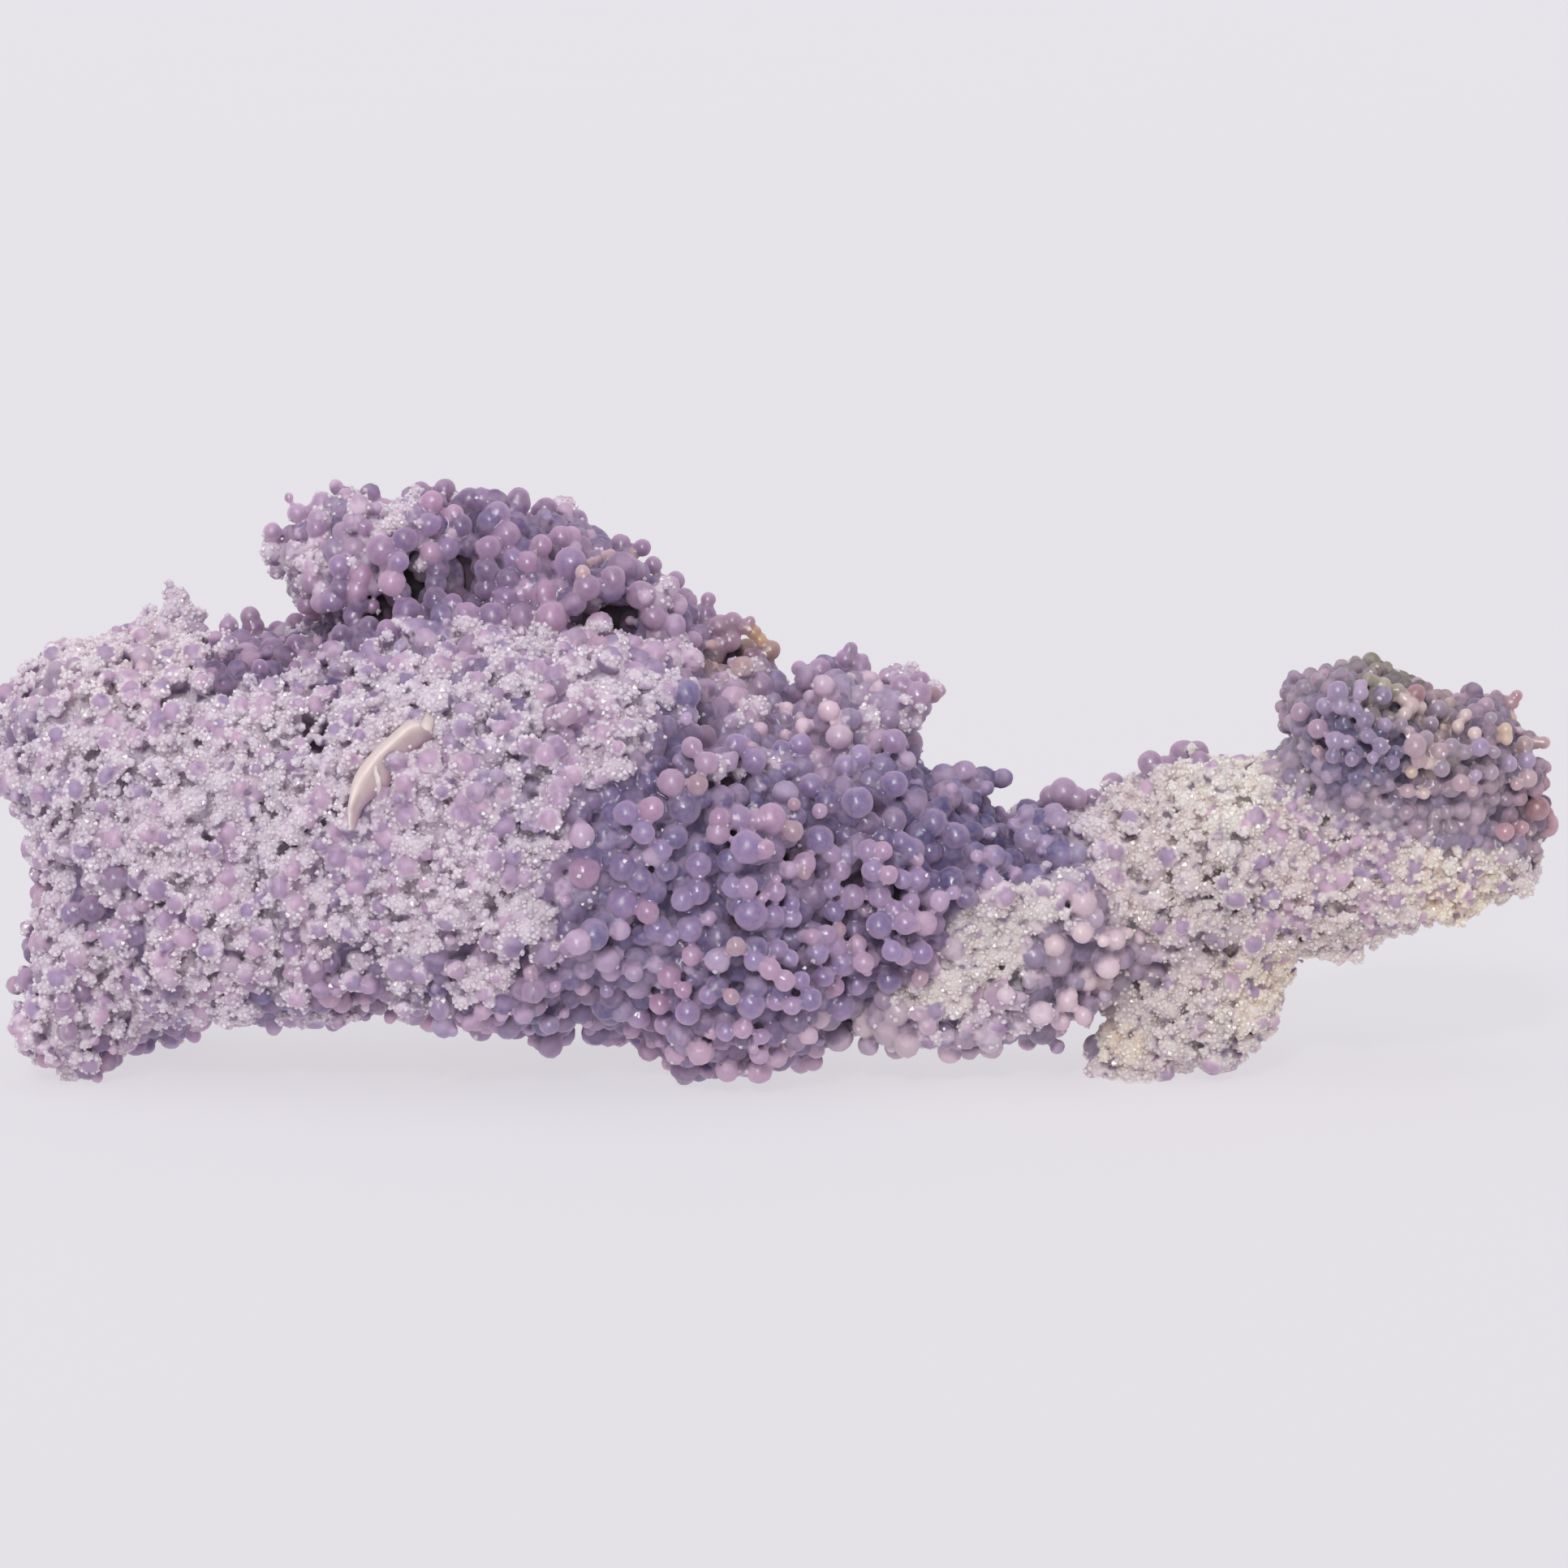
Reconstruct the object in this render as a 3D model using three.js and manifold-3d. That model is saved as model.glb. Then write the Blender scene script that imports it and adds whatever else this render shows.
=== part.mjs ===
// Botryoidal chalcedony of the purple kind sold as grape agate: one natural piece, lying on its side.
// A high mass on the left narrows to an arm that rises to the right and ends in a rounded head.
// The whole stone is covered in grape-like lumps that grew out of it, so it is one solid.
import * as THREE from "three";
import { mergeVertices } from "three/addons/utils/BufferGeometryUtils.js";
import Module from "manifold-3d";

// Driving dimensions, in millimetres. X runs along the stone, Y away from its best side, and Z up from
// the surface that it lies on. The origin is under the middle of the stone. The masses below are laid out
// for a stone of the second length, and the unit scales them to the first.
const LENGTH = 160;
const LAID_OUT_LENGTH = 160.4;
const UNIT = LENGTH / LAID_OUT_LENGTH;
const GRAPE_SMALLEST = 3.0 * UNIT;
const GRAPE_LARGEST = 4.8 * UNIT;
const GRAPE_SPACING = 5.6 * UNIT;
const GRAPE_SUNK = 0.5;
const POINTS_TRIED = 5;
const GRAPE_DETAIL = 1;
const SEED = 7;

// The masses that the stone grew as. Each row is the middle (x, y, z), the half-sizes (x, y, z), the turn
// about Y in degrees, which lowers the right end where it is positive, and how square the mass is: 2 is
// an ellipsoid, and more is flatter in its faces.
const BROAD_FACE = [-49.0, 0.0, 25.4, 27.6, 16.5, 17.8, 0, 3.2];
const RIDGE_CREST = [-23.0, 7.5, 47.6, 11.5, 10.0, 8.0, 12, 2];
const LEFT_MASS = [
  BROAD_FACE,
  [-70.6, -1.0, 36.4, 8.4, 12.0, 8.2, 0, 2.4],
  [-72.4, -2.0, 10.4, 5.8, 10.0, 9.6, 0, 2.3],
  [-62.0, -1.0, 13.5, 11.0, 12.0, 7.8, -8, 2],
  [-66.0, 9.5, 11.4, 8.6, 8.6, 11.0, 0, 2.2],
  [-75.0, -1.0, 28.0, 4.2, 9.6, 4.6, 0, 2],
  [-63.5, 5.0, 38.6, 9.0, 8.5, 6.4, 0, 2.2],
  [-62.4, 9.0, 46.2, 2.0, 2.0, 2.6, 0, 2],
  [-49.0, 5.0, 40.4, 12.0, 9.5, 4.6, 0, 2.2],
];
const MIDDLE_MASS = [
  [-24.5, 0.0, 25.4, 24.6, 19.0, 20.4, 3, 2.6],
  [-9.0, 0.5, 20.6, 17.0, 17.5, 18.2, 10, 2.3],
  [-4.5, -3.0, 14.5, 13.0, 14.5, 13.7, 0, 2.2],
  [-9.0, 8.0, 13.0, 15.0, 11.0, 12.2, 0, 2.2],
  [5.5, 0.0, 24.0, 12.0, 13.0, 11.0, 10, 2.2],
  [8.0, 2.0, 36.8, 6.2, 7.6, 5.0, 0, 2.2],
  [12.5, -1.0, 17.2, 12.4, 11.5, 12.8, 15, 2.2],
];
const RIDGE = [
  RIDGE_CREST,
  [-44.4, 8.0, 52.0, 7.4, 7.0, 5.8, 0, 2],
  [-33.6, 7.5, 50.0, 11.5, 10.0, 8.4, 0, 2],
  [-13.0, 8.0, 42.6, 9.5, 9.0, 6.4, 25, 2],
  [-4.8, 7.0, 37.6, 6.5, 8.0, 5.8, 25, 2],
  [-29.0, 1.5, 41.0, 19.0, 11.0, 7.2, 4, 2.2],
  [-26.0, 9.5, 40.0, 24.0, 9.0, 9.4, 5, 2.4],
];
const ARM = [
  [16.6, 0.5, 24.6, 7.8, 8.0, 5.8, 18, 2],
  [17.0, -2.0, 10.4, 14.2, 8.8, 7.2, 0, 2.3],
  [28.0, -0.5, 17.0, 14.0, 10.5, 10.2, -8, 2.3],
  [43.0, 0.0, 21.4, 16.0, 10.0, 10.2, -6, 2.4],
  [60.0, -0.5, 23.4, 15.0, 9.5, 8.8, -11, 2.3],
  [72.6, 0.0, 25.0, 5.4, 7.4, 6.4, 0, 2],
];
const HEAD = [
  [59.6, -3.0, 34.6, 8.2, 8.0, 7.4, 0, 2.6],
  [68.0, -2.5, 33.2, 8.0, 8.0, 5.6, 0, 2.2],
  [73.2, -1.5, 29.8, 4.0, 7.0, 5.2, 0, 2],
];
const FOOT = [
  [43.0, -2.5, 9.0, 7.4, 6.5, 6.0, 0, 2.4],
  [36.4, -3.0, 3.6, 3.6, 5.0, 3.8, 0, 2.2],
  [47.4, -2.0, 10.4, 3.8, 5.0, 4.6, 0, 2.2],
];
const MASSES = [LEFT_MASS, MIDDLE_MASS, RIDGE, ARM, HEAD, FOOT].flat();

// Hollows that the masses left between them, in the same form.
const HOLLOWS = [
  [-36.0, -2.0, 51.6, 2.2, 4.5, 3.0, 0, 2],
  [-31.0, -2.5, 52.4, 1.8, 4.5, 3.2, 0, 2],
  [-18.2, -2.5, 48.2, 3.0, 4.5, 1.8, 10, 2],
  [34.0, -11.0, 10.2, 7.0, 6.0, 1.4, 0, 2],
];

// Two bare rinds, the edges of an older crust. Each runs over the front of its mass through these places
// (x, z), with its middle this far proud, and its section is longer by this factor along the surface.
const RINDS = [
  { on: BROAD_FACE, along: [[-35.0, 38.6], [-38.4, 36.4], [-41.4, 32.8], [-43.4, 27.6]], half: 1.8 },
  { on: RIDGE_CREST, along: [[-14.0, 50.6], [-17.8, 51.0], [-21.4, 47.4]], half: 1.6 },
];
const RIND_PROUD = 0.8;
const RIND_STEPS = 8;
const RIND_SIDES = 6;
const RIND_LONGER = 1.6;

// How finely each mass is faceted, and which edges are too short to keep on the finished skin: the faces
// round one that is drawn in may turn no further than this agreement of their directions, a cosine.
const MASS_DETAIL_PER_SIZE = 0.2;
const HOLLOW_DETAIL = 2;
const SHORTEST_EDGE = 1.4 * UNIT;
const LEAST_AGREEMENT = 0.5;

// The slow swelling of the whole stone, which keeps its masses from looking turned on a lathe.
const SWELL = 1.0 * UNIT;
const SWELL_LENGTH = 5.6 * UNIT;

// Gives the same numbers, from 0 to 1, on every run.
function randomFrom(seed) {
  let state = seed;
  return () => {
    state = (state + 0x6d2b79f5) | 0;
    let t = Math.imul(state ^ (state >>> 15), 1 | state);
    t = (t + Math.imul(t ^ (t >>> 7), 61 | t)) ^ t;
    return ((t ^ (t >>> 14)) >>> 0) / 4294967296;
  };
}

const wasm = await Module();
wasm.setup();

function solidOf(geometry) {
  const bare = geometry.clone();
  bare.deleteAttribute("normal");
  bare.deleteAttribute("uv");
  const merged = mergeVertices(bare, 1e-4);
  return new wasm.Manifold(
    new wasm.Mesh({
      numProp: 3,
      vertProperties: merged.attributes.position.array,
      triVerts: new Uint32Array(merged.index.array),
    }),
  );
}

function geometryOf(solid) {
  const mesh = solid.getMesh();
  const geometry = new THREE.BufferGeometry();
  geometry.setAttribute("position", new THREE.BufferAttribute(mesh.vertProperties, mesh.numProp));
  geometry.setIndex(new THREE.BufferAttribute(mesh.triVerts, 1));
  geometry.computeVertexNormals();
  return geometry;
}

// A mass's placement, which carries the unit ball's space to the mass.
function placeOf([x, y, z, rx, ry, rz, turn]) {
  return new THREE.Matrix4().compose(
    new THREE.Vector3(x, y, z).multiplyScalar(UNIT),
    new THREE.Quaternion().setFromAxisAngle(new THREE.Vector3(0, 1, 0), THREE.MathUtils.degToRad(turn)),
    new THREE.Vector3(rx, ry, rz).multiplyScalar(UNIT),
  );
}

// How far out a point of the unit ball's space lies: 1 on the surface of a mass of this squareness.
function reach({ x, y, z }, squareness) {
  return (Math.abs(x) ** squareness + Math.abs(y) ** squareness + Math.abs(z) ** squareness) ** (1 / squareness);
}

// How far the skin swells outwards at a point.
function swellAt({ x, y, z }) {
  const [u, v, w] = [x, y, z].map((value) => value / SWELL_LENGTH);
  return SWELL * Math.sin(u + 1.3 * Math.sin(w)) * Math.cos(v + 0.8 * Math.sin(u)) * Math.cos(w - 0.6 * v);
}

// A point on a mass's surface in a direction of the unit ball, with the outward direction there.
function onMass(mass, direction) {
  const squareness = mass[7];
  const place = placeOf(mass);
  const unit = direction.clone().divideScalar(reach(direction, squareness));
  const slope = new THREE.Vector3(...unit.toArray().map((u) => Math.sign(u) * Math.abs(u) ** (squareness - 1)));
  const normal = slope.applyMatrix3(new THREE.Matrix3().getNormalMatrix(place)).normalize();
  const point = unit.applyMatrix4(place);
  return { point: point.addScaledVector(normal, swellAt(point)), normal };
}

// One mass as a closed solid.
function massSolid(mass, detail = Math.round(Math.max(...mass.slice(3, 6)) * MASS_DETAIL_PER_SIZE)) {
  const geometry = new THREE.IcosahedronGeometry(1, Math.max(1, detail));
  const corners = geometry.attributes.position;
  for (let i = 0; i < corners.count; i++) {
    const { point } = onMass(mass, new THREE.Vector3().fromBufferAttribute(corners, i));
    corners.setXYZ(i, point.x, point.y, point.z);
  }
  return solidOf(geometry);
}

// Points spread evenly over a mass, with the outward direction at each.
function* pointsOver(mass, random) {
  const [, , , rx, ry, rz] = mass;
  const area = 4 * Math.PI * ((rx * ry + ry * rz + rx * rz) / 3) * UNIT * UNIT;
  const count = Math.ceil((POINTS_TRIED * area) / GRAPE_SPACING ** 2);
  const golden = Math.PI * (3 - Math.sqrt(5));
  const start = random() * 2 * Math.PI;
  for (let i = 0; i < count; i++) {
    const height = 1 - (2 * (i + 0.5)) / count;
    const ring = Math.sqrt(1 - height * height);
    const angle = start + golden * i;
    yield onMass(mass, new THREE.Vector3(ring * Math.cos(angle), height, ring * Math.sin(angle)));
  }
}

// The grapes big enough to show from a step away, each half sunk in the mass that it grew on. None grows
// inside another mass or closer to another grape than their spacing.
function grapesOn(masses) {
  const random = randomFrom(SEED);
  const inverses = masses.map((mass) => placeOf(mass).invert());
  const within = (point, i) => reach(point.clone().applyMatrix4(inverses[i]), masses[i][7]) < 1;
  const grapes = [];
  masses.forEach((mass, own) => {
    for (const { point, normal } of pointsOver(mass, random)) {
      const radius = THREE.MathUtils.lerp(GRAPE_SMALLEST, GRAPE_LARGEST, random() ** 1.5);
      const buried = masses.some((_, i) => i !== own && within(point, i));
      const crowded = grapes.some((other) => other.point.distanceTo(point) < GRAPE_SPACING);
      if (buried || crowded) continue;
      const centre = point.clone().addScaledVector(normal, -GRAPE_SUNK * radius);
      const turn = new THREE.Euler(random() * Math.PI, random() * Math.PI, random() * Math.PI);
      grapes.push({ point, centre, radius, turn });
    }
  });
  return grapes;
}

// One grape, turned its own way so that its facets line up with no neighbour's.
function grapeSolid({ centre, radius, turn }) {
  const ball = new THREE.IcosahedronGeometry(radius, GRAPE_DETAIL);
  ball.applyQuaternion(new THREE.Quaternion().setFromEuler(turn));
  return solidOf(ball.translate(centre.x, centre.y, centre.z));
}

// Joining the grapes leaves slivers along the creases. This draws each edge shorter than the limit to
// one point, wherever the faces round it keep their directions and the surface stays one closed skin.
function withoutSlivers(geometry, shortest) {
  const points = Array.from({ length: geometry.attributes.position.count }, (_, i) =>
    new THREE.Vector3().fromBufferAttribute(geometry.attributes.position, i),
  );
  const faces = [];
  const facesAt = points.map(() => new Set());
  for (let i = 0; i < geometry.index.count; i += 3) {
    const face = [0, 1, 2].map((k) => geometry.index.getX(i + k));
    face.forEach((v) => facesAt[v].add(faces.length));
    faces.push(face);
  }
  const neighbours = (v) => new Set([...facesAt[v]].flatMap((f) => faces[f]).filter((other) => other !== v));
  const directionOf = (corners) => new THREE.Triangle(...corners).getNormal(new THREE.Vector3());
  // How well the faces round v that don't touch the other end keep their directions when v moves.
  const agreement = (v, other, moved) =>
    Math.min(
      1,
      ...[...facesAt[v]]
        .filter((f) => !faces[f].includes(other))
        .map((f) => {
          const before = directionOf(faces[f].map((k) => points[k]));
          const after = directionOf(faces[f].map((k) => (k === v ? moved : points[k])));
          return before.dot(after);
        }),
    );
  const collapse = (kept, gone, moved) => {
    for (const f of [...facesAt[gone]]) {
      if (faces[f].includes(kept)) {
        faces[f].forEach((v) => facesAt[v].delete(f));
        faces[f] = null;
      } else {
        faces[f] = faces[f].map((v) => (v === gone ? kept : v));
        facesAt[kept].add(f);
      }
    }
    facesAt[gone].clear();
    points[kept].copy(moved);
  };
  const shortEdges = () =>
    faces
      .filter((face) => face)
      .flatMap(([a, b, c]) => [[a, b], [b, c], [c, a]])
      .filter(([a, b]) => a < b && points[a].distanceTo(points[b]) < shortest)
      .sort((e, f) => points[e[0]].distanceTo(points[e[1]]) - points[f[0]].distanceTo(points[f[1]]));
  for (let changed = true; changed; ) {
    changed = false;
    for (const [a, b] of shortEdges()) {
      if (!facesAt[a].size || !facesAt[b].size || points[a].distanceTo(points[b]) >= shortest) continue;
      const ofB = neighbours(b);
      const shared = [...neighbours(a)].filter((v) => ofB.has(v));
      if (shared.length !== 2) continue;
      const places = [points[a].clone(), points[b].clone(), points[a].clone().lerp(points[b], 0.5)];
      const scored = places.map((p) => ({ p, kept: Math.min(agreement(a, b, p), agreement(b, a, p)) }));
      const best = scored.reduce((x, y) => (y.kept > x.kept ? y : x));
      if (best.kept < LEAST_AGREEMENT) continue;
      collapse(a, b, best.p);
      changed = true;
    }
  }
  const thinned = new THREE.BufferGeometry().setFromPoints(points);
  thinned.setIndex(faces.filter((face) => face).flat());
  return thinned.toNonIndexed();
}

// Everything below the surface that the stone lies on.
function belowTheTable() {
  const slab = new THREE.BoxGeometry(2 * LENGTH, 2 * LENGTH, LENGTH);
  return solidOf(slab.translate(0, 0, -LENGTH / 2));
}

// Where the front of a mass lies at x and z, leaving out its small turn.
function frontOf([x, y, z, rx, ry, rz, , squareness], atX, atZ) {
  const left = 1 - Math.abs((atX - x) / rx) ** squareness - Math.abs((atZ - z) / rz) ** squareness;
  return y - ry * Math.max(0, left) ** (1 / squareness);
}

// One rind: a flattened round section drawn along its route.
function rindSolid({ on, along, half }) {
  const placed = ([x, z]) => new THREE.Vector3(x, frontOf(on, x, z) - RIND_PROUD, z);
  const route = along.map((place) => placed(place).multiplyScalar(UNIT));
  const section = new THREE.Shape(
    Array.from({ length: RIND_SIDES }, (_, i) => {
      const angle = (2 * Math.PI * i) / RIND_SIDES;
      return new THREE.Vector2(half * RIND_LONGER * Math.cos(angle), half * Math.sin(angle)).multiplyScalar(UNIT);
    }),
  );
  return solidOf(
    new THREE.ExtrudeGeometry(section, {
      steps: RIND_STEPS,
      curveSegments: 1,
      extrudePath: new THREE.CatmullRomCurve3(route),
    }),
  );
}

const grapes = grapesOn(MASSES);
const grown = [...MASSES.map((mass) => massSolid(mass)), ...grapes.map(grapeSolid), ...RINDS.map(rindSolid)];
const joined = grown.reduce((all, next) => all.add(next));
const hollowed = HOLLOWS.reduce((left, hollow) => left.subtract(massSolid(hollow, HOLLOW_DETAIL)), joined);
const stone = solidOf(withoutSlivers(geometryOf(hollowed), SHORTEST_EDGE)).subtract(belowTheTable());

const chalcedony = new THREE.Mesh(
  geometryOf(stone),
  new THREE.MeshStandardMaterial({ color: 0xa58cb4, roughness: 0.45, metalness: 0 }),
);
chalcedony.name = "chalcedony";
chalcedony.geometry.computeBoundingBox();
const middle = chalcedony.geometry.boundingBox.getCenter(new THREE.Vector3());
chalcedony.geometry.translate(-middle.x, -middle.y, 0);

const specimen = new THREE.Group();
specimen.add(chalcedony);

export default specimen;
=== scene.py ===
import math

import bmesh
import bpy
import numpy as np
from mathutils import Matrix, Vector, noise
from mathutils.bvhtree import BVHTree


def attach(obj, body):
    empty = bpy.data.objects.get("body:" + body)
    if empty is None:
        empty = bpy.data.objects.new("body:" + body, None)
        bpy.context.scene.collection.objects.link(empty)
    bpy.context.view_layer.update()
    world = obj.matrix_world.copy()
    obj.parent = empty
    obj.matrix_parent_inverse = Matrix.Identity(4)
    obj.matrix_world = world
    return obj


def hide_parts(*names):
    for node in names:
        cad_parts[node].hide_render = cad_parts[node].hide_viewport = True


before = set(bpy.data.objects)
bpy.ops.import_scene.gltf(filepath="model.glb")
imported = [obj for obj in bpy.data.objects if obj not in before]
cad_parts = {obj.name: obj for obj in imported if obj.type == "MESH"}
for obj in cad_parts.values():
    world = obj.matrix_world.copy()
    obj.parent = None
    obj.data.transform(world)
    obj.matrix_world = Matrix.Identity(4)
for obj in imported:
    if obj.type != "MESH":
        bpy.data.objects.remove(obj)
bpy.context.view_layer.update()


# The stone's heart is the solid chalcedony that the grapes grew on: a microcrystalline quartz that
# silica-rich water laid down in a cavity. It shows only as the floor in the gaps and pits, which is painted
# dark violet as shade.

mm = 0.001
MERGE_WITHIN = 0.001 * mm
HEART_GRID = 0.9 * mm
HEART_SOFTENING = 7
HEART_FLOOR = 0.4 * mm
FRONT_ENDS = 9 * mm
# Edges of patches are ragged: an outline's by so many millimetres, an oval's by a share of its size.
RAGGED_SIZE = 3.5 * mm
OUTLINE_STRAYS, OVAL_STRAYS = 2.2, 0.3
OVAL_FULL, OVAL_GONE = 0.65, 1.35
BUNCH_SIZE = 5.6 * mm
BUNCH_TOP, BUNCH_EDGE = 0.12, 0.62
# The thickness of the crust of grapes over the heart: places along X, then its millimetres there.
CRUST_ALONG = ([-80, -40, 45, 60, 80], [1.1, 1.2, 1.2, 0.8, 0.6])
CRUST_MORE_BEHIND = 0.5 * mm
CREASE_DEPTH = 1.0 * mm
LESS_CREASED = 0.7
PIT_DEPTH = 1.8 * mm
MOST_SWOLLEN = 0.5 * mm
JUST_INSIDE = 0.05 * mm
LEAST_HEART = 0.3


def show(mesh, name):
    """Puts a mesh into the scene as an object at the origin."""
    piece = bpy.data.objects.new(name, mesh)
    bpy.context.scene.collection.objects.link(piece)
    return piece


def finished(carrier):
    """The plain mesh that a carrier's modifiers make. The carrier itself goes."""
    bpy.context.view_layer.update()
    graph = bpy.context.evaluated_depsgraph_get()
    mesh = bpy.data.meshes.new_from_object(
        carrier.evaluated_get(graph), preserve_all_data_layers=True, depsgraph=graph
    )
    bpy.data.objects.remove(carrier)
    return mesh


def merged(solid):
    """The mesh of a solid of the frame, its loose triangles joined at their corners."""
    joined = bmesh.new()
    joined.from_mesh(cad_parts[solid].data)
    bmesh.ops.remove_doubles(joined, verts=joined.verts, dist=MERGE_WITHIN)
    mesh = bpy.data.meshes.new("heart")
    joined.to_mesh(mesh)
    joined.free()
    return mesh


def melted(mesh, grid, rounds):
    """One closed and even skin over parts that run into each other, softened in so many rounds."""
    carrier = show(mesh, "carrier")
    melt = carrier.modifiers.new("melt", "REMESH")
    melt.mode = "VOXEL"
    melt.voxel_size = grid
    soften = carrier.modifiers.new("soften", "SMOOTH")
    soften.factor = 0.5
    soften.iterations = rounds
    return finished(carrier)


def rows_of(mesh_data, key):
    """The three-number values of mesh data, as an array of rows."""
    rows = np.empty(len(mesh_data) * 3, np.float32)
    mesh_data.foreach_get(key, rows)
    return rows.reshape(-1, 3).astype(float)


def put_at(mesh, rows):
    """Puts each point of the mesh where its row says."""
    mesh.vertices.foreach_set("co", rows.astype(np.float32).ravel())
    mesh.update()


def noise_at(places, size, seed):
    """Smooth noise from about -1 to 1 at each place, with features of the given size."""
    shift = Vector((seed, 1.7 * seed, -2.3 * seed))
    return np.array([noise.noise(Vector(p) / size + shift) for p in places])


def ramp(value, low, high):
    """0 up to low, 1 from high on, and a smooth step between."""
    t = np.clip((value - low) / (high - low), 0, 1)
    return t * t * (3 - 2 * t)


heart_mesh = melted(merged("chalcedony"), HEART_GRID, HEART_SOFTENING)
skin = rows_of(heart_mesh.vertices, "co")
outward = rows_of(heart_mesh.vertex_normals, "vector")
x, z = skin[:, 0] / mm, skin[:, 2] / mm
ragged = noise_at(skin, RAGGED_SIZE, 4.0)
front = 1 - ramp(skin[:, 1], 0, FRONT_ENDS)


def inside(outline, soft=1.3):
    """1 well inside an outline seen from the front, 0 well outside, with a ragged edge between."""
    nearest = np.full(len(x), 1e9)
    within = np.zeros(len(x), bool)
    for (ax, az), (bx, bz) in zip(outline, outline[1:] + outline[:1]):
        length = (bx - ax) ** 2 + (bz - az) ** 2
        along = np.clip(((x - ax) * (bx - ax) + (z - az) * (bz - az)) / length, 0, 1)
        nearest = np.minimum(nearest, np.hypot(x - ax - along * (bx - ax), z - az - along * (bz - az)))
        if az != bz:
            within ^= ((az > z) != (bz > z)) & (x < (bx - ax) * (z - az) / (bz - az) + ax)
    return ramp(np.where(within, nearest, -nearest) + OUTLINE_STRAYS * ragged, -soft, soft)


def oval(at_x, at_z, half_x, half_z, turn=0):
    """1 in the middle of an oval seen from the front, fading to 0 outside its ragged edge."""
    c, s = math.cos(math.radians(turn)), math.sin(math.radians(turn))
    u, w = x - at_x, z - at_z
    reach = np.hypot((c * u + s * w) / half_x, (c * w - s * u) / half_z)
    return 1 - ramp(reach + OVAL_STRAYS * ragged, OVAL_FULL, OVAL_GONE)


# Dark pits open between the grapes, most of them under the ridge's crest. Each is an oval seen from the
# front: its middle in x and z, then its half width and half height, in millimetres.
PITS = [
    (-36.6, 51.3, 1.2, 2.1), (-31.8, 52.0, 1.9, 3.4), (-25.3, 47.1, 0.9, 1.0), (-16.9, 47.4, 1.6, 1.2),
    (-40.3, 48.6, 1.3, 1.7), (-22.9, 52.5, 0.9, 1.0), (-24.7, 57.0, 0.9, 0.8), (-46, 38.5, 1.1, 1.5),
    (-5.6, 37.9, 1.2, 1.4), (-6.0, 41.0, 1.1, 1.1), (-4.2, 33.4, 2.2, 1.0), (3.3, 24.2, 1.2, 1.0),
    (9.6, 21.7, 1.1, 1.2), (13.2, 19.5, 1.0, 2.0), (-3.5, 19.0, 1.2, 0.7), (12.3, 14.2, 1.7, 1.0),
    (0.4, 9.5, 1.0, 1.2), (11.3, 30.2, 1.6, 1.0), (-4.5, 11.9, 0.9, 0.7),
]
pits = front * np.maximum.reduce([oval(*pit) for pit in PITS])

# Places where the crust grew thicker than usual, or thinner where the last number is negative. Each is an
# oval as the pits are, with its turn in degrees and how many millimetres it adds.
SWELLS = [
    (-47, 9, 11, 4, 0, 0.6), (-32, 5.5, 7, 3, 0, -0.8), (29.6, 8, 4, 3, 0, 1.3), (68, 14, 8, 3, 20, -1.3),
    (-78, 20, 5, 10, 0, -1.5), (-76, 42, 6, 4, 0, -0.8), (15.5, 38, 2.6, 3, 0, 0.9),
    (19, 31, 4, 2, 0, 0.3), (29.5, 30.5, 4, 2, 0, 1.1), (-7, 51.0, 9, 3, -45, 0.9),
    (-44, 59.5, 6, 3, 0, 1.0), (-31, 61, 8, 2.5, 0, 1.0), (38, 35, 7, 3, 0, 1.4), (51, 35, 4, 3, 0, -0.8),
    (12, 43.5, 4, 2.0, 0, -2.0), (-2.7, 44.6, 2.4, 2.0, 0, -1.6), (40, 2, 9, 2.5, 0, 1.0),
]
swollen = sum(more * oval(*place) for *place, more in SWELLS) * mm

# Grapes grow in bunches: the skin swells towards the middle of each bunch and creases between them, but less
# so on the front of the left mass, on the back and towards the head.
bunch_reach = np.array([noise.voronoi(Vector(p) / BUNCH_SIZE)[0][0] for p in skin])
proud = 1 - ramp(bunch_reach, BUNCH_TOP, BUNCH_EDGE)
crease_share = 1 - LESS_CREASED * np.maximum.reduce([front * ramp(-x, 18, 26), 1 - front, ramp(x, 34, 42)])
inset = np.interp(x, *CRUST_ALONG) * mm + CRUST_MORE_BEHIND * (1 - front)
inset += CREASE_DEPTH * (1 - proud) * crease_share + PIT_DEPTH * pits - swollen

# Where the stone is thin, the heart stays inside it: the crust takes only its share of the thickness.
heart_faces = [tuple(face.vertices) for face in heart_mesh.polygons]
solid = BVHTree.FromPolygons([Vector(p) for p in skin], heart_faces)
for number, (place, way) in enumerate(zip(skin, outward)):
    across = solid.ray_cast(Vector(place - way * JUST_INSIDE), Vector(-way))[3]
    if across is not None:
        inset[number] = min(inset[number], (0.5 - LEAST_HEART / 2) * across)
inset = np.maximum(inset, -MOST_SWOLLEN)
heart_at = skin - outward * inset[:, None]
heart_at[:, 2] = np.maximum(heart_at[:, 2], HEART_FLOOR)
put_at(heart_mesh, heart_at)


# The stone that shows is its grapes: balls of fibrous chalcedony that grew outwards from thousands of seeds
# on the heart, purple from traces of iron, and ran together where they met. Water stained some of them, and
# sugar of quartz settled on them later. Both are kept as marks on the heart, and the grapes take them over.

DRIFT_SIZE = 8 * mm
SPECKLE_SIZE, BLOTCH_SIZE = 2.6 * mm, 6 * mm
FROST = "#efe0ea"
MARK_KINDS = {1: ("FLOAT", "value"), 3: ("FLOAT_VECTOR", "vector"), 4: ("FLOAT_COLOR", "color")}


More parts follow.
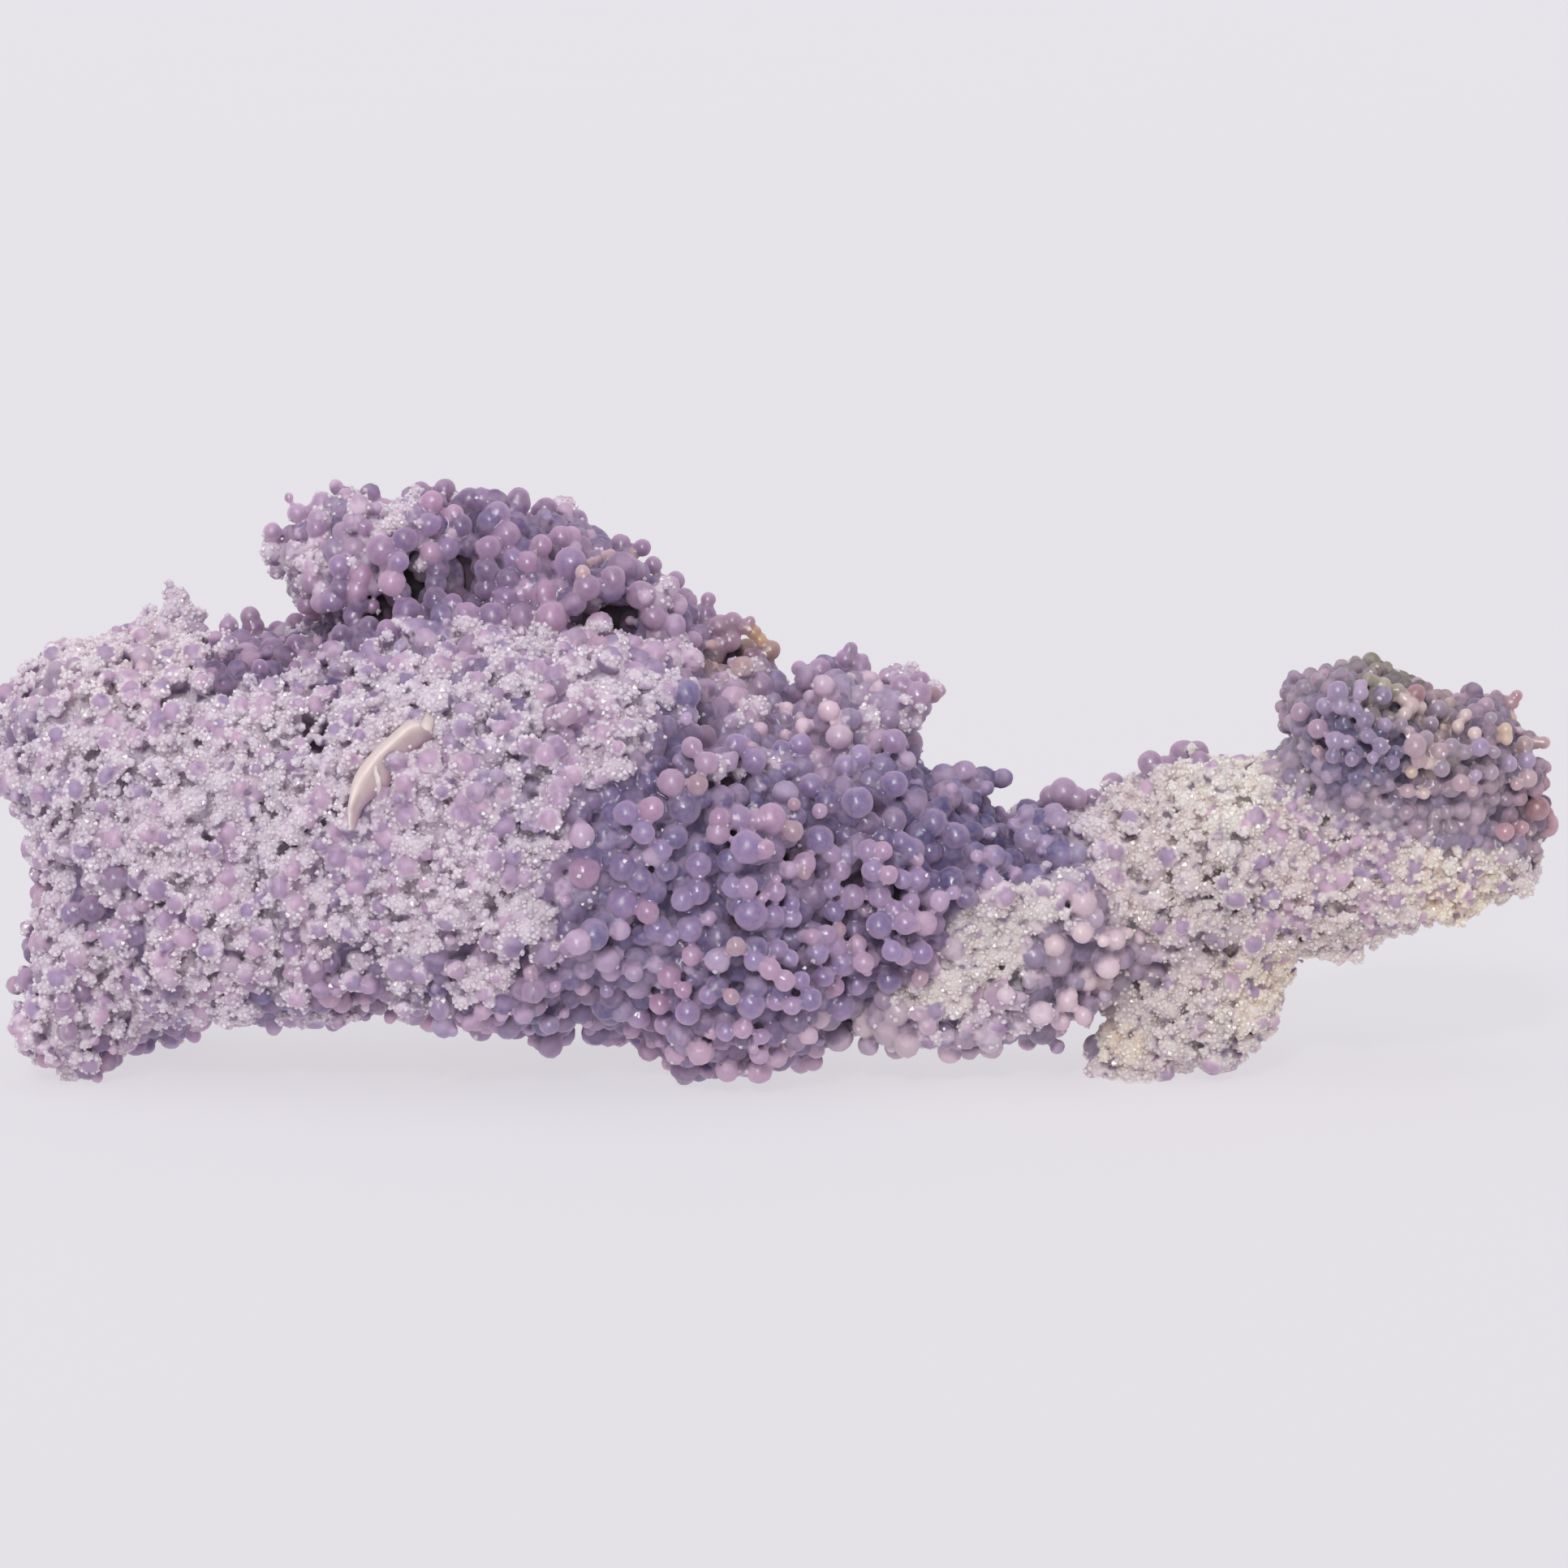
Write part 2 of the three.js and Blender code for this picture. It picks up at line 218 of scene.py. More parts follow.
def colour(code):
    """An sRGB hex value as linear red, green, blue and alpha."""
    parts = [int(code[i : i + 2], 16) / 255 for i in (1, 3, 5)]
    return [p / 12.92 if p <= 0.04045 else ((p + 0.055) / 1.055) ** 2.4 for p in parts] + [1.0]


def mark(mesh, name, values):
    """Keeps a number, a direction or a colour for each point of the mesh."""
    values = np.asarray(values, np.float32)
    kind, key = MARK_KINDS[values.size // len(values)]
    mesh.attributes.new(name, kind, "POINT").data.foreach_set(key, values.ravel())


def painted(ground, patches):
    """The ground colour, with each patch's colour laid over it as far as its cover says."""
    tone = np.tile(colour(ground), (len(x), 1))
    for code, cover in patches:
        tone += cover[:, None] * (np.array(colour(code)) - tone)
    return tone


# The colour of the grapes: lilac that drifts between pink and blue, green and beige on the head and golden
# at the arch. Each patch is an oval or an outline seen from the front.
drift = noise_at(skin, DRIFT_SIZE, 21.0)
head = inside([(51, 50), (50, 34), (54, 29), (62, 27.5), (72, 25), (86, 20), (86, 50)])
tone = painted("#b59ab5", [
    ("#c3a4b8", ramp(drift, 0.0, 0.35)),
    ("#a498bb", ramp(-drift, 0.1, 0.4)),
    ("#a899ba", front * oval(-9, 22, 13, 14)),
    ("#8378a4", front * oval(20, 29, 11, 8, -20)),
    ("#8a7ea6", front * oval(26.5, 26, 5, 3.5)),
    ("#ecd4d9", front * oval(8, 39, 10, 6)),
    ("#eed5dc", front * oval(-44, 55, 10, 6)),
    ("#ad8fb0", front * oval(-24, 56, 9, 6)),
    ("#9e7ea6", front * oval(-29, 57.5, 7, 4)),
    # Over the largest pit: a dark patch that is painted shade.
    ("#6a4e7b", front * oval(-31.8, 52.0, 2.4, 3.6)),
    ("#d2b6ca", front * oval(-10.5, 48, 4, 4)),
    ("#e6cfd0", front * oval(-69, 46, 13, 6)),
    ("#c4a6b8", front * oval(-74, 10, 8, 12)),
    ("#d4c4c3", front * oval(18, 6, 14, 4)),
    ("#ead8d2", front * oval(33, 14, 9, 6)),
    ("#c9a9a5", front * oval(56, 18, 8, 4)),
    ("#c9a771", oval(-2.6, 44.5, 3.6, 3.4)),
    ("#b5a6a9", head),
    ("#a6a1b2", front * oval(57, 34, 5, 6)),
    ("#827d97", front * oval(61, 34.5, 5, 5)),
    ("#98986c", front * oval(63.5, 41.5, 5, 4)),
    ("#c9b792", front * oval(67.5, 35, 2.6, 6)),
    ("#b7a79f", front * oval(74, 34, 5, 6)),
    ("#c8b5b6", front * oval(66, 29, 9, 2.5)),
    ("#dcc3a6", front * oval(70, 19.5, 4, 2.5)),
    ("#b58f8e", front * oval(79, 28, 3.5, 5)),
    ("#8a6790", front * oval(-51, 44, 8, 3.4)),
])
mark(heart_mesh, "tone", tone)
mark(heart_mesh, "proud", proud)

# Where the sugar lies: most of the left mass, the arm with its foot, and a slanting seam at the arm's root.
# Grapes look out of it where it is thin.
sugar_front = inside([
    (-90, -6), (-90, 64), (-61, 60), (-58, 46.5), (-55, 42.8), (-50, 42.2), (-44, 43), (-38, 48),
    (-29, 49), (-21, 48), (-14, 52), (-8, 50), (-7.5, 44), (-12, 37), (-16, 29), (-21, 25), (-20, 14),
    (-26, 10), (-38, 8), (-52, 7), (-66, 2), (-76, -6),
], 3.2)
sugar_arm = inside([
    (30.2, 33.5), (36, 37), (44, 38.5), (52, 36), (55, 30), (62, 27), (70, 25), (82, 24), (82, 8),
    (56, 8), (47, 15), (40, 15), (35, 17), (32.6, 21.6), (32.1, 24.9), (30.2, 28.7),
])
sugar_foot = inside([(31, -2), (33, 6), (37, 9), (46, 15), (56, 15), (54, -2)])
sugar_slant = inside([
    (31.4, 22.5), (28.6, 23.9), (23.8, 21), (19.1, 17.8), (18.5, 15.3), (16.3, 12.1), (11.9, 9.2),
    (11.9, 7.7), (20, 7.7), (25.2, 11.1), (25.7, 14.3), (27.6, 16.9), (29.5, 19.1),
], 0.8)
speckle = noise_at(skin, SPECKLE_SIZE, 33.0) + 0.5 * noise_at(skin, BLOTCH_SIZE, 41.0)
thick = np.maximum.reduce([oval(-50, 30, 22, 12), 0.8 * oval(-68, 42, 10, 8), 0.6 * oval(-22, 36, 12, 9)])
thick_arm = np.maximum(oval(47, 31, 6, 5), oval(69.5, 21, 6, 4.5))
bare_patches = np.maximum.reduce([
    oval(-75, 40, 5, 5), 1.6 * oval(-25, 34, 9, 6), 0.6 * oval(-70, 18, 9, 4), 0.5 * oval(-34, 12, 14, 3),
])
# How much speckle it takes for sugar to lie: more outside its outline and on the bare patches, less where it
# is thick.
wanted = 0.9 * (1 - sugar_front) + 0.25 * bare_patches - 0.5 * thick - 0.28
# Small spots of sugar elsewhere: each is an oval as the pits are, with the speckle at which it starts and at
# which it is whole.
SUGAR_SPOTS = [
    (-44, 55, 9, 6, -0.1, 0.2), (12, 38.5, 4, 2.5, -0.2, 0.1), (-1, 33, 5, 3, 0.1, 0.35),
    (-3, 41, 5, 2.5, 0.0, 0.3), (20, 6.5, 8, 2.5, -0.2, 0.1), (-17, 57, 3, 2, -0.1, 0.2),
    (-10.5, 49, 3.5, 3, -0.2, 0.1),
]
front_sugar = np.maximum.reduce([
    np.minimum(2 * sugar_front, 1) * ramp(speckle - wanted, 0, 0.2),
    np.maximum.reduce([sugar_arm, sugar_slant, sugar_foot]) * ramp(speckle + thick_arm, -0.8, -0.5),
    *(oval(*place) * ramp(speckle, low, high) for *place, low, high in SUGAR_SPOTS),
])
back_sugar = ramp(drift + 0.5 * speckle, 0.1, 0.35)
sugar = front * front_sugar + (1 - front) * back_sugar
sugar *= (1 - 0.85 * head) * (1 - np.clip(2 * pits, 0, 1))

# The sugar's own colour: lilac white on the left, cream on the arm, yellow under its tip and foot.
frost = painted(FROST, [
    ("#eddfdb", ramp(x, 28, 36)),
    ("#f0e5e1", sugar_slant),
    ("#fff5ea", front * oval(47, 31, 6, 5)),
    ("#fff2e2", front * oval(69.5, 21, 6, 4.5)),
    ("#feedd6", front * oval(69, 19, 3, 2)),
    ("#f9ebdd", front * oval(50, 10, 5, 5)),
    ("#faebd6", front * oval(51, 11, 2.5, 2.5)),
    ("#faebd6", front * oval(35, 4.5, 3, 2)),
    ("#f8e9ee", front * oval(-69, 46, 13, 6)),
    ("#f5e9e4", front * oval(18, 12, 5, 4)),
])
mark(heart_mesh, "sugar", sugar)
mark(heart_mesh, "frost", frost)


def fill(tree, node, inputs):
    """Sets or links the inputs of a node. A node given as one stands for its first output."""
    for key, value in inputs.items():
        if isinstance(value, bpy.types.Node):
            value = value.outputs[0]
        if isinstance(value, bpy.types.NodeSocket):
            tree.links.new(value, node.inputs[key])
        else:
            node.inputs[key].default_value = value


def add(tree, kind, inputs=None, **settings):
    """Adds one node with its settings and links."""
    node = tree.nodes.new(kind)
    for name, value in settings.items():
        setattr(node, name, value)
    fill(tree, node, inputs or {})
    return node


def inputs_for(tree, **sizes):
    """Gives a tree a surface to grow on, named inputs with these starting values, and a geometry output."""
    face = tree.interface
    face.new_socket("Surface", in_out="INPUT", socket_type="NodeSocketGeometry")
    for name, value in sizes.items():
        kind = "NodeSocketMaterial" if value is None else "NodeSocket" + type(value).__name__.capitalize()
        socket = face.new_socket(name, in_out="INPUT", socket_type=kind)
        if value is not None:
            socket.default_value = value
    face.new_socket("Grown", in_out="OUTPUT", socket_type="NodeSocketGeometry")
    return add(tree, "NodeGroupInput").outputs


CANDIDATES = 5.0
SMALL_FAVOURED = 1.4
BUMPS_TO_A_MM = 0.9
LEAST_BUMP, MOST_BUMP = -0.14 * mm, 0.16 * mm
# Chances that differ from grape to grape: the least, the most, and what is added to the seed.
CHANCES = {
    "luck": (0.0, 1.0, 11), "bared": (0.0, 1.0, 53), "plumpness": (0.0, 1.0, 23), "stagger": (-1.0, 1.0, 37),
    "width": (0.9, 1.06, 41), "depth": (0.9, 1.06, 43), "height": (0.94, 1.14, 47),
}


def grape_tree():
    """The tree that grows grapes from seeds strewn over a skin."""
    tree = bpy.data.node_groups.new("grapes on a skin", "GeometryNodeTree")
    given = inputs_for(tree, Spacing=2 * mm, Smallest=1 * mm, Largest=1.5 * mm, Lift=0.0, Rise=0.0,
                       Stagger=0.0, Bare=0.6, Height=0.0, Detail=2, Seed=1, Material=None)
    known = {}
    for name in ("where", "plump", "proud", "out"):
        kind = "FLOAT_VECTOR" if name == "out" else "FLOAT"
        known[name] = add(tree, "GeometryNodeInputNamedAttribute", {"Name": name}, data_type=kind)
    chance = {}
    for name, (least, most, shift) in CHANCES.items():
        drawn = add(tree, "ShaderNodeMath", {0: given["Seed"], 1: float(shift)}, operation="ADD")
        chance[name] = add(tree, "FunctionNodeRandomValue", {2: least, 3: most, "Seed": drawn},
                           data_type="FLOAT").outputs[1]

    # Seeds lie at least one spacing apart. Each keeps its marks for the grape that grows from it.
    area = add(tree, "ShaderNodeMath", {0: given["Spacing"], 1: 2.0}, operation="POWER")
    close = add(tree, "ShaderNodeMath", {0: CANDIDATES, 1: area}, operation="DIVIDE")
    seeds = add(tree, "GeometryNodeDistributePointsOnFaces", {
        "Mesh": given["Surface"], "Distance Min": given["Spacing"], "Density Max": close,
        "Density Factor": known["where"], "Seed": given["Seed"]}, distribute_method="POISSON")
    bare = add(tree, "ShaderNodeMath", {0: chance["bared"], 1: given["Bare"]}, operation="LESS_THAN")
    points = seeds.outputs["Points"]
    for name, value, kind in (
        ("luck", chance["luck"], "FLOAT"), ("out", seeds.outputs["Normal"], "FLOAT_VECTOR"),
        ("bare", bare, "FLOAT"), ("height", given["Height"], "FLOAT"),
    ):
        points = add(tree, "GeometryNodeStoreNamedAttribute", {
            "Geometry": points, "Name": name, "Value": value}, data_type=kind)

    # A grape's radius, and how far it stands out of the skin, though never below the table.
    drawn = add(tree, "ShaderNodeMath", {0: chance["plumpness"], 1: SMALL_FAVOURED}, operation="POWER")
    span = add(tree, "ShaderNodeMapRange", {"Value": drawn, "To Min": given["Smallest"],
                                            "To Max": given["Largest"]})
    radius = add(tree, "ShaderNodeMath", {0: span, 1: known["plump"]}, operation="MULTIPLY")
    lifted = add(tree, "ShaderNodeMath", {0: given["Rise"], 1: known["proud"], 2: given["Lift"]},
                 operation="MULTIPLY_ADD")
    uneven = add(tree, "ShaderNodeMath", {0: given["Stagger"], 1: chance["stagger"], 2: lifted},
                 operation="MULTIPLY_ADD")
    step = add(tree, "ShaderNodeVectorMath", {0: seeds.outputs["Normal"], "Scale": uneven}, operation="SCALE")
    moved = add(tree, "GeometryNodeSetPosition", {"Geometry": points, "Offset": step})
    place = add(tree, "GeometryNodeInputPosition")
    parts = add(tree, "ShaderNodeSeparateXYZ", {0: place})
    above = add(tree, "ShaderNodeMath", {0: parts.outputs["Z"], 1: radius}, operation="MAXIMUM")
    seat = add(tree, "ShaderNodeCombineXYZ", {"X": parts.outputs["X"], "Y": parts.outputs["Y"], "Z": above})
    seated = add(tree, "GeometryNodeSetPosition", {"Geometry": moved, "Position": seat})

    # The grapes themselves, each a little out of round and bumpy, with its crown known from its sides.
    ball = add(tree, "GeometryNodeMeshIcoSphere", {"Radius": 1.0, "Subdivisions": given["Detail"]})
    stretch = add(tree, "ShaderNodeCombineXYZ", {"X": chance["width"], "Y": chance["depth"],
                                                 "Z": chance["height"]})
    size = add(tree, "ShaderNodeVectorMath", {0: stretch, "Scale": radius}, operation="SCALE")
    placed = add(tree, "GeometryNodeInstanceOnPoints", {
        "Points": seated, "Instance": ball.outputs["Mesh"], "Rotation": seeds.outputs["Rotation"],
        "Scale": size})
    real = add(tree, "GeometryNodeRealizeInstances", {"Geometry": placed})
    bumps = add(tree, "ShaderNodeTexNoise", {"Vector": place, "Scale": BUMPS_TO_A_MM / mm, "Detail": 1.0})
    swell = add(tree, "ShaderNodeMapRange", {"Value": bumps, "To Min": LEAST_BUMP, "To Max": MOST_BUMP})
    way = add(tree, "GeometryNodeInputNormal")
    bulge = add(tree, "ShaderNodeVectorMath", {0: way, "Scale": swell}, operation="SCALE")
    shaped = add(tree, "GeometryNodeSetPosition", {"Geometry": real, "Offset": bulge})
    crown = add(tree, "ShaderNodeVectorMath", {0: way, 1: known["out"]}, operation="DOT_PRODUCT")
    topped = add(tree, "GeometryNodeStoreNamedAttribute", {
        "Geometry": shaped, "Name": "crown", "Value": crown.outputs["Value"]}, data_type="FLOAT")
    smooth = add(tree, "GeometryNodeSetShadeSmooth", {"Geometry": topped})
    clad = add(tree, "GeometryNodeSetMaterial", {"Geometry": smooth, "Material": given["Material"]})
    add(tree, "NodeGroupOutput", {0: clad})
    return tree


def grown(tree, surface, settings):
    """The mesh that a tree grows on a copy of a surface, with its inputs set by their identifiers."""
    carrier = show(surface.copy(), "carrier")
    growth = carrier.modifiers.new("growth", "NODES")
    growth.node_group = tree
    keys = {item.name: item.identifier for item in tree.interface.items_tree if item.in_out == "INPUT"}
    for name, value in settings.items():
        growth[keys[name]] = value
    return finished(carrier)


def joined_mesh(meshes, name):
    """One mesh of several, with their attributes kept."""
    pieces = [show(mesh, name) for mesh in meshes]
    bpy.context.view_layer.update()
    with bpy.context.temp_override(active_object=pieces[0], selected_editable_objects=pieces):
        bpy.ops.object.join()
    mesh = pieces[0].data
    bpy.data.objects.remove(pieces[0])
    return mesh


# Botryoidal chalcedony with its natural skin: waxy and clouded, so it glows a little from inside. The edge of
# each ball is paler than its middle: its frosted skin gives a sheen there, and a pale rim is painted on as
# light.
CLOUDS_TO_A_MM, PORES_TO_A_MM, CRUMBS_TO_A_MM = 1.3, 5.2, 1.5
PORE_DEPTH, CRUMB_DEPTH = 0.05 * mm, 0.4 * mm
DEEP, RAISED, RAISED_SHARE = "#a8a5c0", "#dfc1d4", 0.22
CAP_KEPT_CLEAN = 0.75
# How far a change has gone: the mark it follows, where it starts, where it is whole, and its strength then.
CHANGES = {
    "risen": ("height", 0.0, 1.0, 1.0), "ripe": ("luck", 0.0, 0.8, 0.6), "top": ("crown", 0.4, 0.8, 1.0),
    "above root": ("crown", -0.35, 0.1, 0.92), "dull side": ("crown", 0.8, 0.45, 0.5),
    "dull floor": ("height", -0.05, -0.4, 0.6), "dull pit": ("pit", 0.0, 0.4, 0.6),
}
# Colours laid over the grapes one by one, each with the mark that it follows: some are pinker or bluer than
# the rest, their edges get a painted pale rim of light, their roots get painted violet shade, and the floor
# between them is painted dark as shade.
SKIN_TINTS_AND_PAINTED_LIGHT = [
    ("luck", 0.6, 1.0, 0.25, "#d6b6c8"), ("luck", 0.4, 0.0, 0.22, "#9a93c1"),
    ("crown", 0.9, 0.35, 0.24, "#dcbcd2"), ("crown", 0.35, -0.45, 0.65, "#604d76"),
    ("height", -0.05, -0.4, 0.55, "#5d4d73"),
]
CAP_WASHES = [("luck", 0.1, 0.9, 1.0, "#ba95b3")]
# The sugar crust's hollows get a painted grey-violet shade, and its deepest hollows a painted near-black
# shade.
CRUST_PAINTED_SHADE = [("clump", -0.05, -0.4, 0.4, "#9283a4"), ("clump", -0.42, -0.58, 0.65, "#4b3a56")]


def washed(tree, seen, ground, washes):
    """Lays colours over a ground, each as far as its mark has gone from low to high, times most."""
    for name, low, high, most, over in washes:
        share = add(tree, "ShaderNodeMapRange", {
            "Value": seen[name].outputs["Fac"], "From Min": low, "From Max": high, "To Max": most},
            interpolation_type="SMOOTHSTEP")
        over = colour(over) if isinstance(over, str) else over
        ground = add(tree, "ShaderNodeMix", {"Factor": share, "A": ground, "B": over},
                     data_type="RGBA").outputs["Result"]
    return ground


def plain_material(name):
    """A new material, with its tree of nodes and its shader."""
    made = bpy.data.materials.new(name)
    made.use_nodes = True
    return made, made.node_tree, made.node_tree.nodes["Principled BSDF"]


grape_skin, tree, shader = plain_material("botryoidal chalcedony, natural skin")
place = add(tree, "ShaderNodeTexCoord")
names = ("tone", "frost", "height", "luck", "crown", "sugar", "bare", "pit", "clump")
seen = {name: add(tree, "ShaderNodeAttribute", attribute_name=name) for name in names}
gone = {}
for name, (followed, low, high, most) in CHANGES.items():
    gone[name] = add(tree, "ShaderNodeMapRange", {
        "Value": seen[followed].outputs["Fac"], "From Min": low, "From Max": high, "To Max": most},
        interpolation_type="SMOOTHSTEP")

# Grapes that stand high are paler, most of all the ripe ones, and those deep down are darker.
ripened = add(tree, "ShaderNodeMath", {0: gone["ripe"], 1: 0.4}, operation="ADD")
paler = add(tree, "ShaderNodeMath", {0: ripened, 1: gone["risen"]}, operation="MULTIPLY")
deep = add(tree, "ShaderNodeMix", {"Factor": 1.0, "A": seen["tone"].outputs["Color"], "B": colour(DEEP)},
           data_type="RGBA", blend_type="MULTIPLY")
raised = add(tree, "ShaderNodeMix", {"Factor": RAISED_SHARE, "A": seen["tone"].outputs["Color"],
                                     "B": colour(RAISED)}, data_type="RGBA")
by_height = add(tree, "ShaderNodeMix", {"Factor": paler, "A": deep.outputs["Result"],
                                        "B": raised.outputs["Result"]}, data_type="RGBA")
cloud = add(tree, "ShaderNodeTexNoise", {"Vector": place.outputs["Object"], "Scale": CLOUDS_TO_A_MM / mm,
                                         "Detail": 4.0})
veil = add(tree, "ShaderNodeMapRange", {"Value": cloud.outputs["Fac"], "From Min": 0.45, "From Max": 0.75,
                                        "To Max": 0.18})

# Sugar covers a grape from above its root to its top, and leaves the top of many a grape clean.
sugared = seen["sugar"].outputs["Fac"]
clean_top = add(tree, "ShaderNodeMath", {0: gone["top"], 1: seen["bare"].outputs["Fac"]},
                operation="MULTIPLY")
cap = add(tree, "ShaderNodeMath", {0: clean_top, 1: sugared}, operation="MULTIPLY")
coat = add(tree, "ShaderNodeMath", {0: clean_top, 1: -CAP_KEPT_CLEAN, 2: 1.0},
           operation="MULTIPLY_ADD")
for share in (sugared, gone["above root"]):
    coat = add(tree, "ShaderNodeMath", {0: coat, 1: share}, operation="MULTIPLY")
skin_colour = washed(tree, seen, by_height.outputs["Result"], SKIN_TINTS_AND_PAINTED_LIGHT)
cap_colour = washed(tree, seen, colour("#86699a"), CAP_WASHES)
crust_colour = washed(tree, seen, seen["frost"].outputs["Color"], CRUST_PAINTED_SHADE)
# The pits are painted dark purple: painted shade in the hollows.
for share, over in ((veil, colour("#e3d3d2")), (cap, cap_colour), (coat, crust_colour),
                    (seen["pit"].outputs["Fac"], colour("#5c3a50"))):
    skin_colour = add(tree, "ShaderNodeMix", {"Factor": share, "A": skin_colour, "B": over},
                      data_type="RGBA").outputs["Result"]

# The skin is waxy where it is bare, and matt on the grapes' sides, in the pits and under the sugar.
worn = add(tree, "ShaderNodeMapRange", {"Value": cloud.outputs["Fac"], "From Min": 0.3, "From Max": 0.7,
                                        "To Min": 0.22, "To Max": 0.44})
matt = coat
for duller in ("dull side", "dull floor", "dull pit"):
    matt = add(tree, "ShaderNodeMath", {0: matt, 1: gone[duller]}, operation="MAXIMUM")
rough = add(tree, "ShaderNodeMath", {0: worn, 1: matt}, operation="ADD", use_clamp=True)
pores = add(tree, "ShaderNodeTexNoise", {"Vector": place.outputs["Object"], "Scale": PORES_TO_A_MM / mm,
                                         "Detail": 2.0})
relief = add(tree, "ShaderNodeBump", {"Height": pores.outputs["Fac"], "Distance": PORE_DEPTH,
                                      "Strength": 0.2})
crumbs = add(tree, "ShaderNodeTexNoise", {"Vector": place.outputs["Object"], "Scale": CRUMBS_TO_A_MM / mm,
                                          "Detail": 2.0})
crumbly = add(tree, "ShaderNodeBump", {"Height": crumbs.outputs["Fac"], "Distance": CRUMB_DEPTH,
                                       "Strength": coat, "Normal": relief.outputs["Normal"]})
fill(tree, shader, {
    "Base Color": skin_colour, "Roughness": rough, "Normal": crumbly.outputs["Normal"],
    "IOR": 1.54, "Subsurface Weight": 0.6, "Subsurface Scale": 1.5 * mm, "Subsurface Radius": (1.0, 0.8, 1.0),
    "Sheen Weight": 0.3, "Sheen Roughness": 0.5, "Sheen Tint": colour("#f6e6f2"),
})


def smoothed(mesh):
    """Shades the mesh as a curved skin."""
    mesh.polygons.foreach_set("use_smooth", [True] * len(mesh.polygons))
    mesh.update()


# The rind, which a later section makes between these two lines, keeps the higher grapes off its place.
RIND_OUTER = [(-34.4, 39.1), (-36.1, 38.9), (-37.8, 37.6), (-39.4, 36.1), (-40.8, 34.4), (-41.6, 32.9),
              (-42.1, 31.2), (-42.2, 30.0), (-41.9, 29.0)]
RIND_INNER = [(-33.6, 37.7), (-34.9, 36.9), (-36.3, 36.0), (-37.3, 34.8), (-38.1, 33.3), (-39.5, 32.2),
              (-40.8, 31.0), (-41.3, 29.9), (-41.5, 29.1)]
RIND_CLEAR, RIND_FREE = 0.3, 1.1
clear_of_rind = np.ones(len(x))
for outer, inner in zip(RIND_OUTER, RIND_INNER):
    half = math.dist(outer, inner) / 2
    from_middle = np.hypot(x - (outer[0] + inner[0]) / 2, z - (outer[1] + inner[1]) / 2)
    clear_of_rind *= 1 - (1 - ramp(from_middle, half + RIND_CLEAR, half + RIND_FREE)) * front

heart_tree = BVHTree.FromPolygons([Vector(p) for p in heart_at], heart_faces)


def front_of_heart(at_x, at_z):
    """How far forward the heart reaches at a place seen from the front, in metres along Y."""
    hit = heart_tree.ray_cast(Vector((at_x * mm, -1, at_z * mm)), Vector((0, 1, 0)))[0]
    return hit.y if hit else 0.0


# Grapes that the photo shows plainly are set one by one, each on the line from the photo's point of view
# through its place on an upright plane, where that line meets the heart or else comes closest to it.
PHOTO_FROM = Vector((1.16, -660.61, 146.48)) * mm
TO_THE_PHOTO = np.array([0.0, -0.97, 0.24])
# The stone lies between these two distances from it, in millimetres.
NEAREST, FARTHEST = 650, 692
GRAPE_BUMP, GRAPE_BUMP_SIZE = 0.1 * mm, 1.3 * mm


def sight(at_x, at_z, plane):
    """The way from the photo's point of view to a place on an upright plane, in millimetres."""
    return (Vector((at_x, plane, at_z)) * mm - PHOTO_FROM).normalized()


def seat(at_x, at_z, radius, forward, plane, around, depth):
    """Where a grape sits that is seen at a place, in millimetres, with its radius."""
    way = sight(at_x, at_z, plane)
    if depth is not None:
        return (*((PHOTO_FROM + way * (depth * mm - PHOTO_FROM.y) / way.y) / mm), radius)
    steps = (-around, 0.0, around)
    hits = [heart_tree.ray_cast(PHOTO_FROM, sight(at_x + u, at_z + w, plane))[3]
            for u in steps for w in steps]
    middle = len(hits) // 2
    if hits[middle]:
        far = min(hit for hit in hits if hit) - forward * mm
    else:
        reach = [(heart_tree.find_nearest(PHOTO_FROM + way * far * mm)[3], far * mm)
                 for far in range(NEAREST, FARTHEST)]
        far = min(reach)[1]
    return (*((PHOTO_FROM + way * far) / mm), radius)


def ball_set(places, code, forward=0.3, by_size=0.0, height=0.8, sugared=0.0, bared=1.0, plane=0.0,
             around=1.0, depth=None):
    """Grapes of one colour, each set as (x, z, radius) in millimetres, all at one depth if it is given."""
    balls = [seat(at_x, at_z, radius, forward + by_size * radius, plane, around, depth)
             for at_x, at_z, radius in places]
    shaped = bmesh.new()
    for *centre, radius in balls:
        bmesh.ops.create_icosphere(shaped, subdivisions=3, radius=radius * mm,
                                   matrix=Matrix.Translation(Vector(centre) * mm))
    mesh = bpy.data.meshes.new("grapes")
    shaped.to_mesh(mesh)
    shaped.free()
    corners = rows_of(mesh.vertices, "co")
    bumps = noise_at(corners, GRAPE_BUMP_SIZE, 71.0)[:, None]
    corners += GRAPE_BUMP * bumps * rows_of(mesh.vertex_normals, "vector")
    put_at(mesh, corners)
    count = len(corners)
    facing = corners - np.repeat(np.array(balls)[:, :3] * mm, count // len(balls), axis=0)
    facing /= np.linalg.norm(facing, axis=1)[:, None]
    for name, value in {"tone": colour(code), "frost": colour(FROST), "out": TO_THE_PHOTO, "height": height,
                        "sugar": sugared, "bare": bared, "pit": 0.0}.items():
        mark(mesh, name, np.tile(value, (count, 1)))
    mark(mesh, "luck", np.repeat(np.linspace(0.4, 0.6, len(balls)), count // len(balls)))
    # Here a point's crown is how far it faces forward and a little up, so the painted pale rims and the
    # painted shade at the roots of these grapes follow that way.
    mark(mesh, "crown", facing @ TO_THE_PHOTO)
    smoothed(mesh)
    mesh.materials.append(grape_skin)
    set_by_hand.extend(balls)
    return mesh


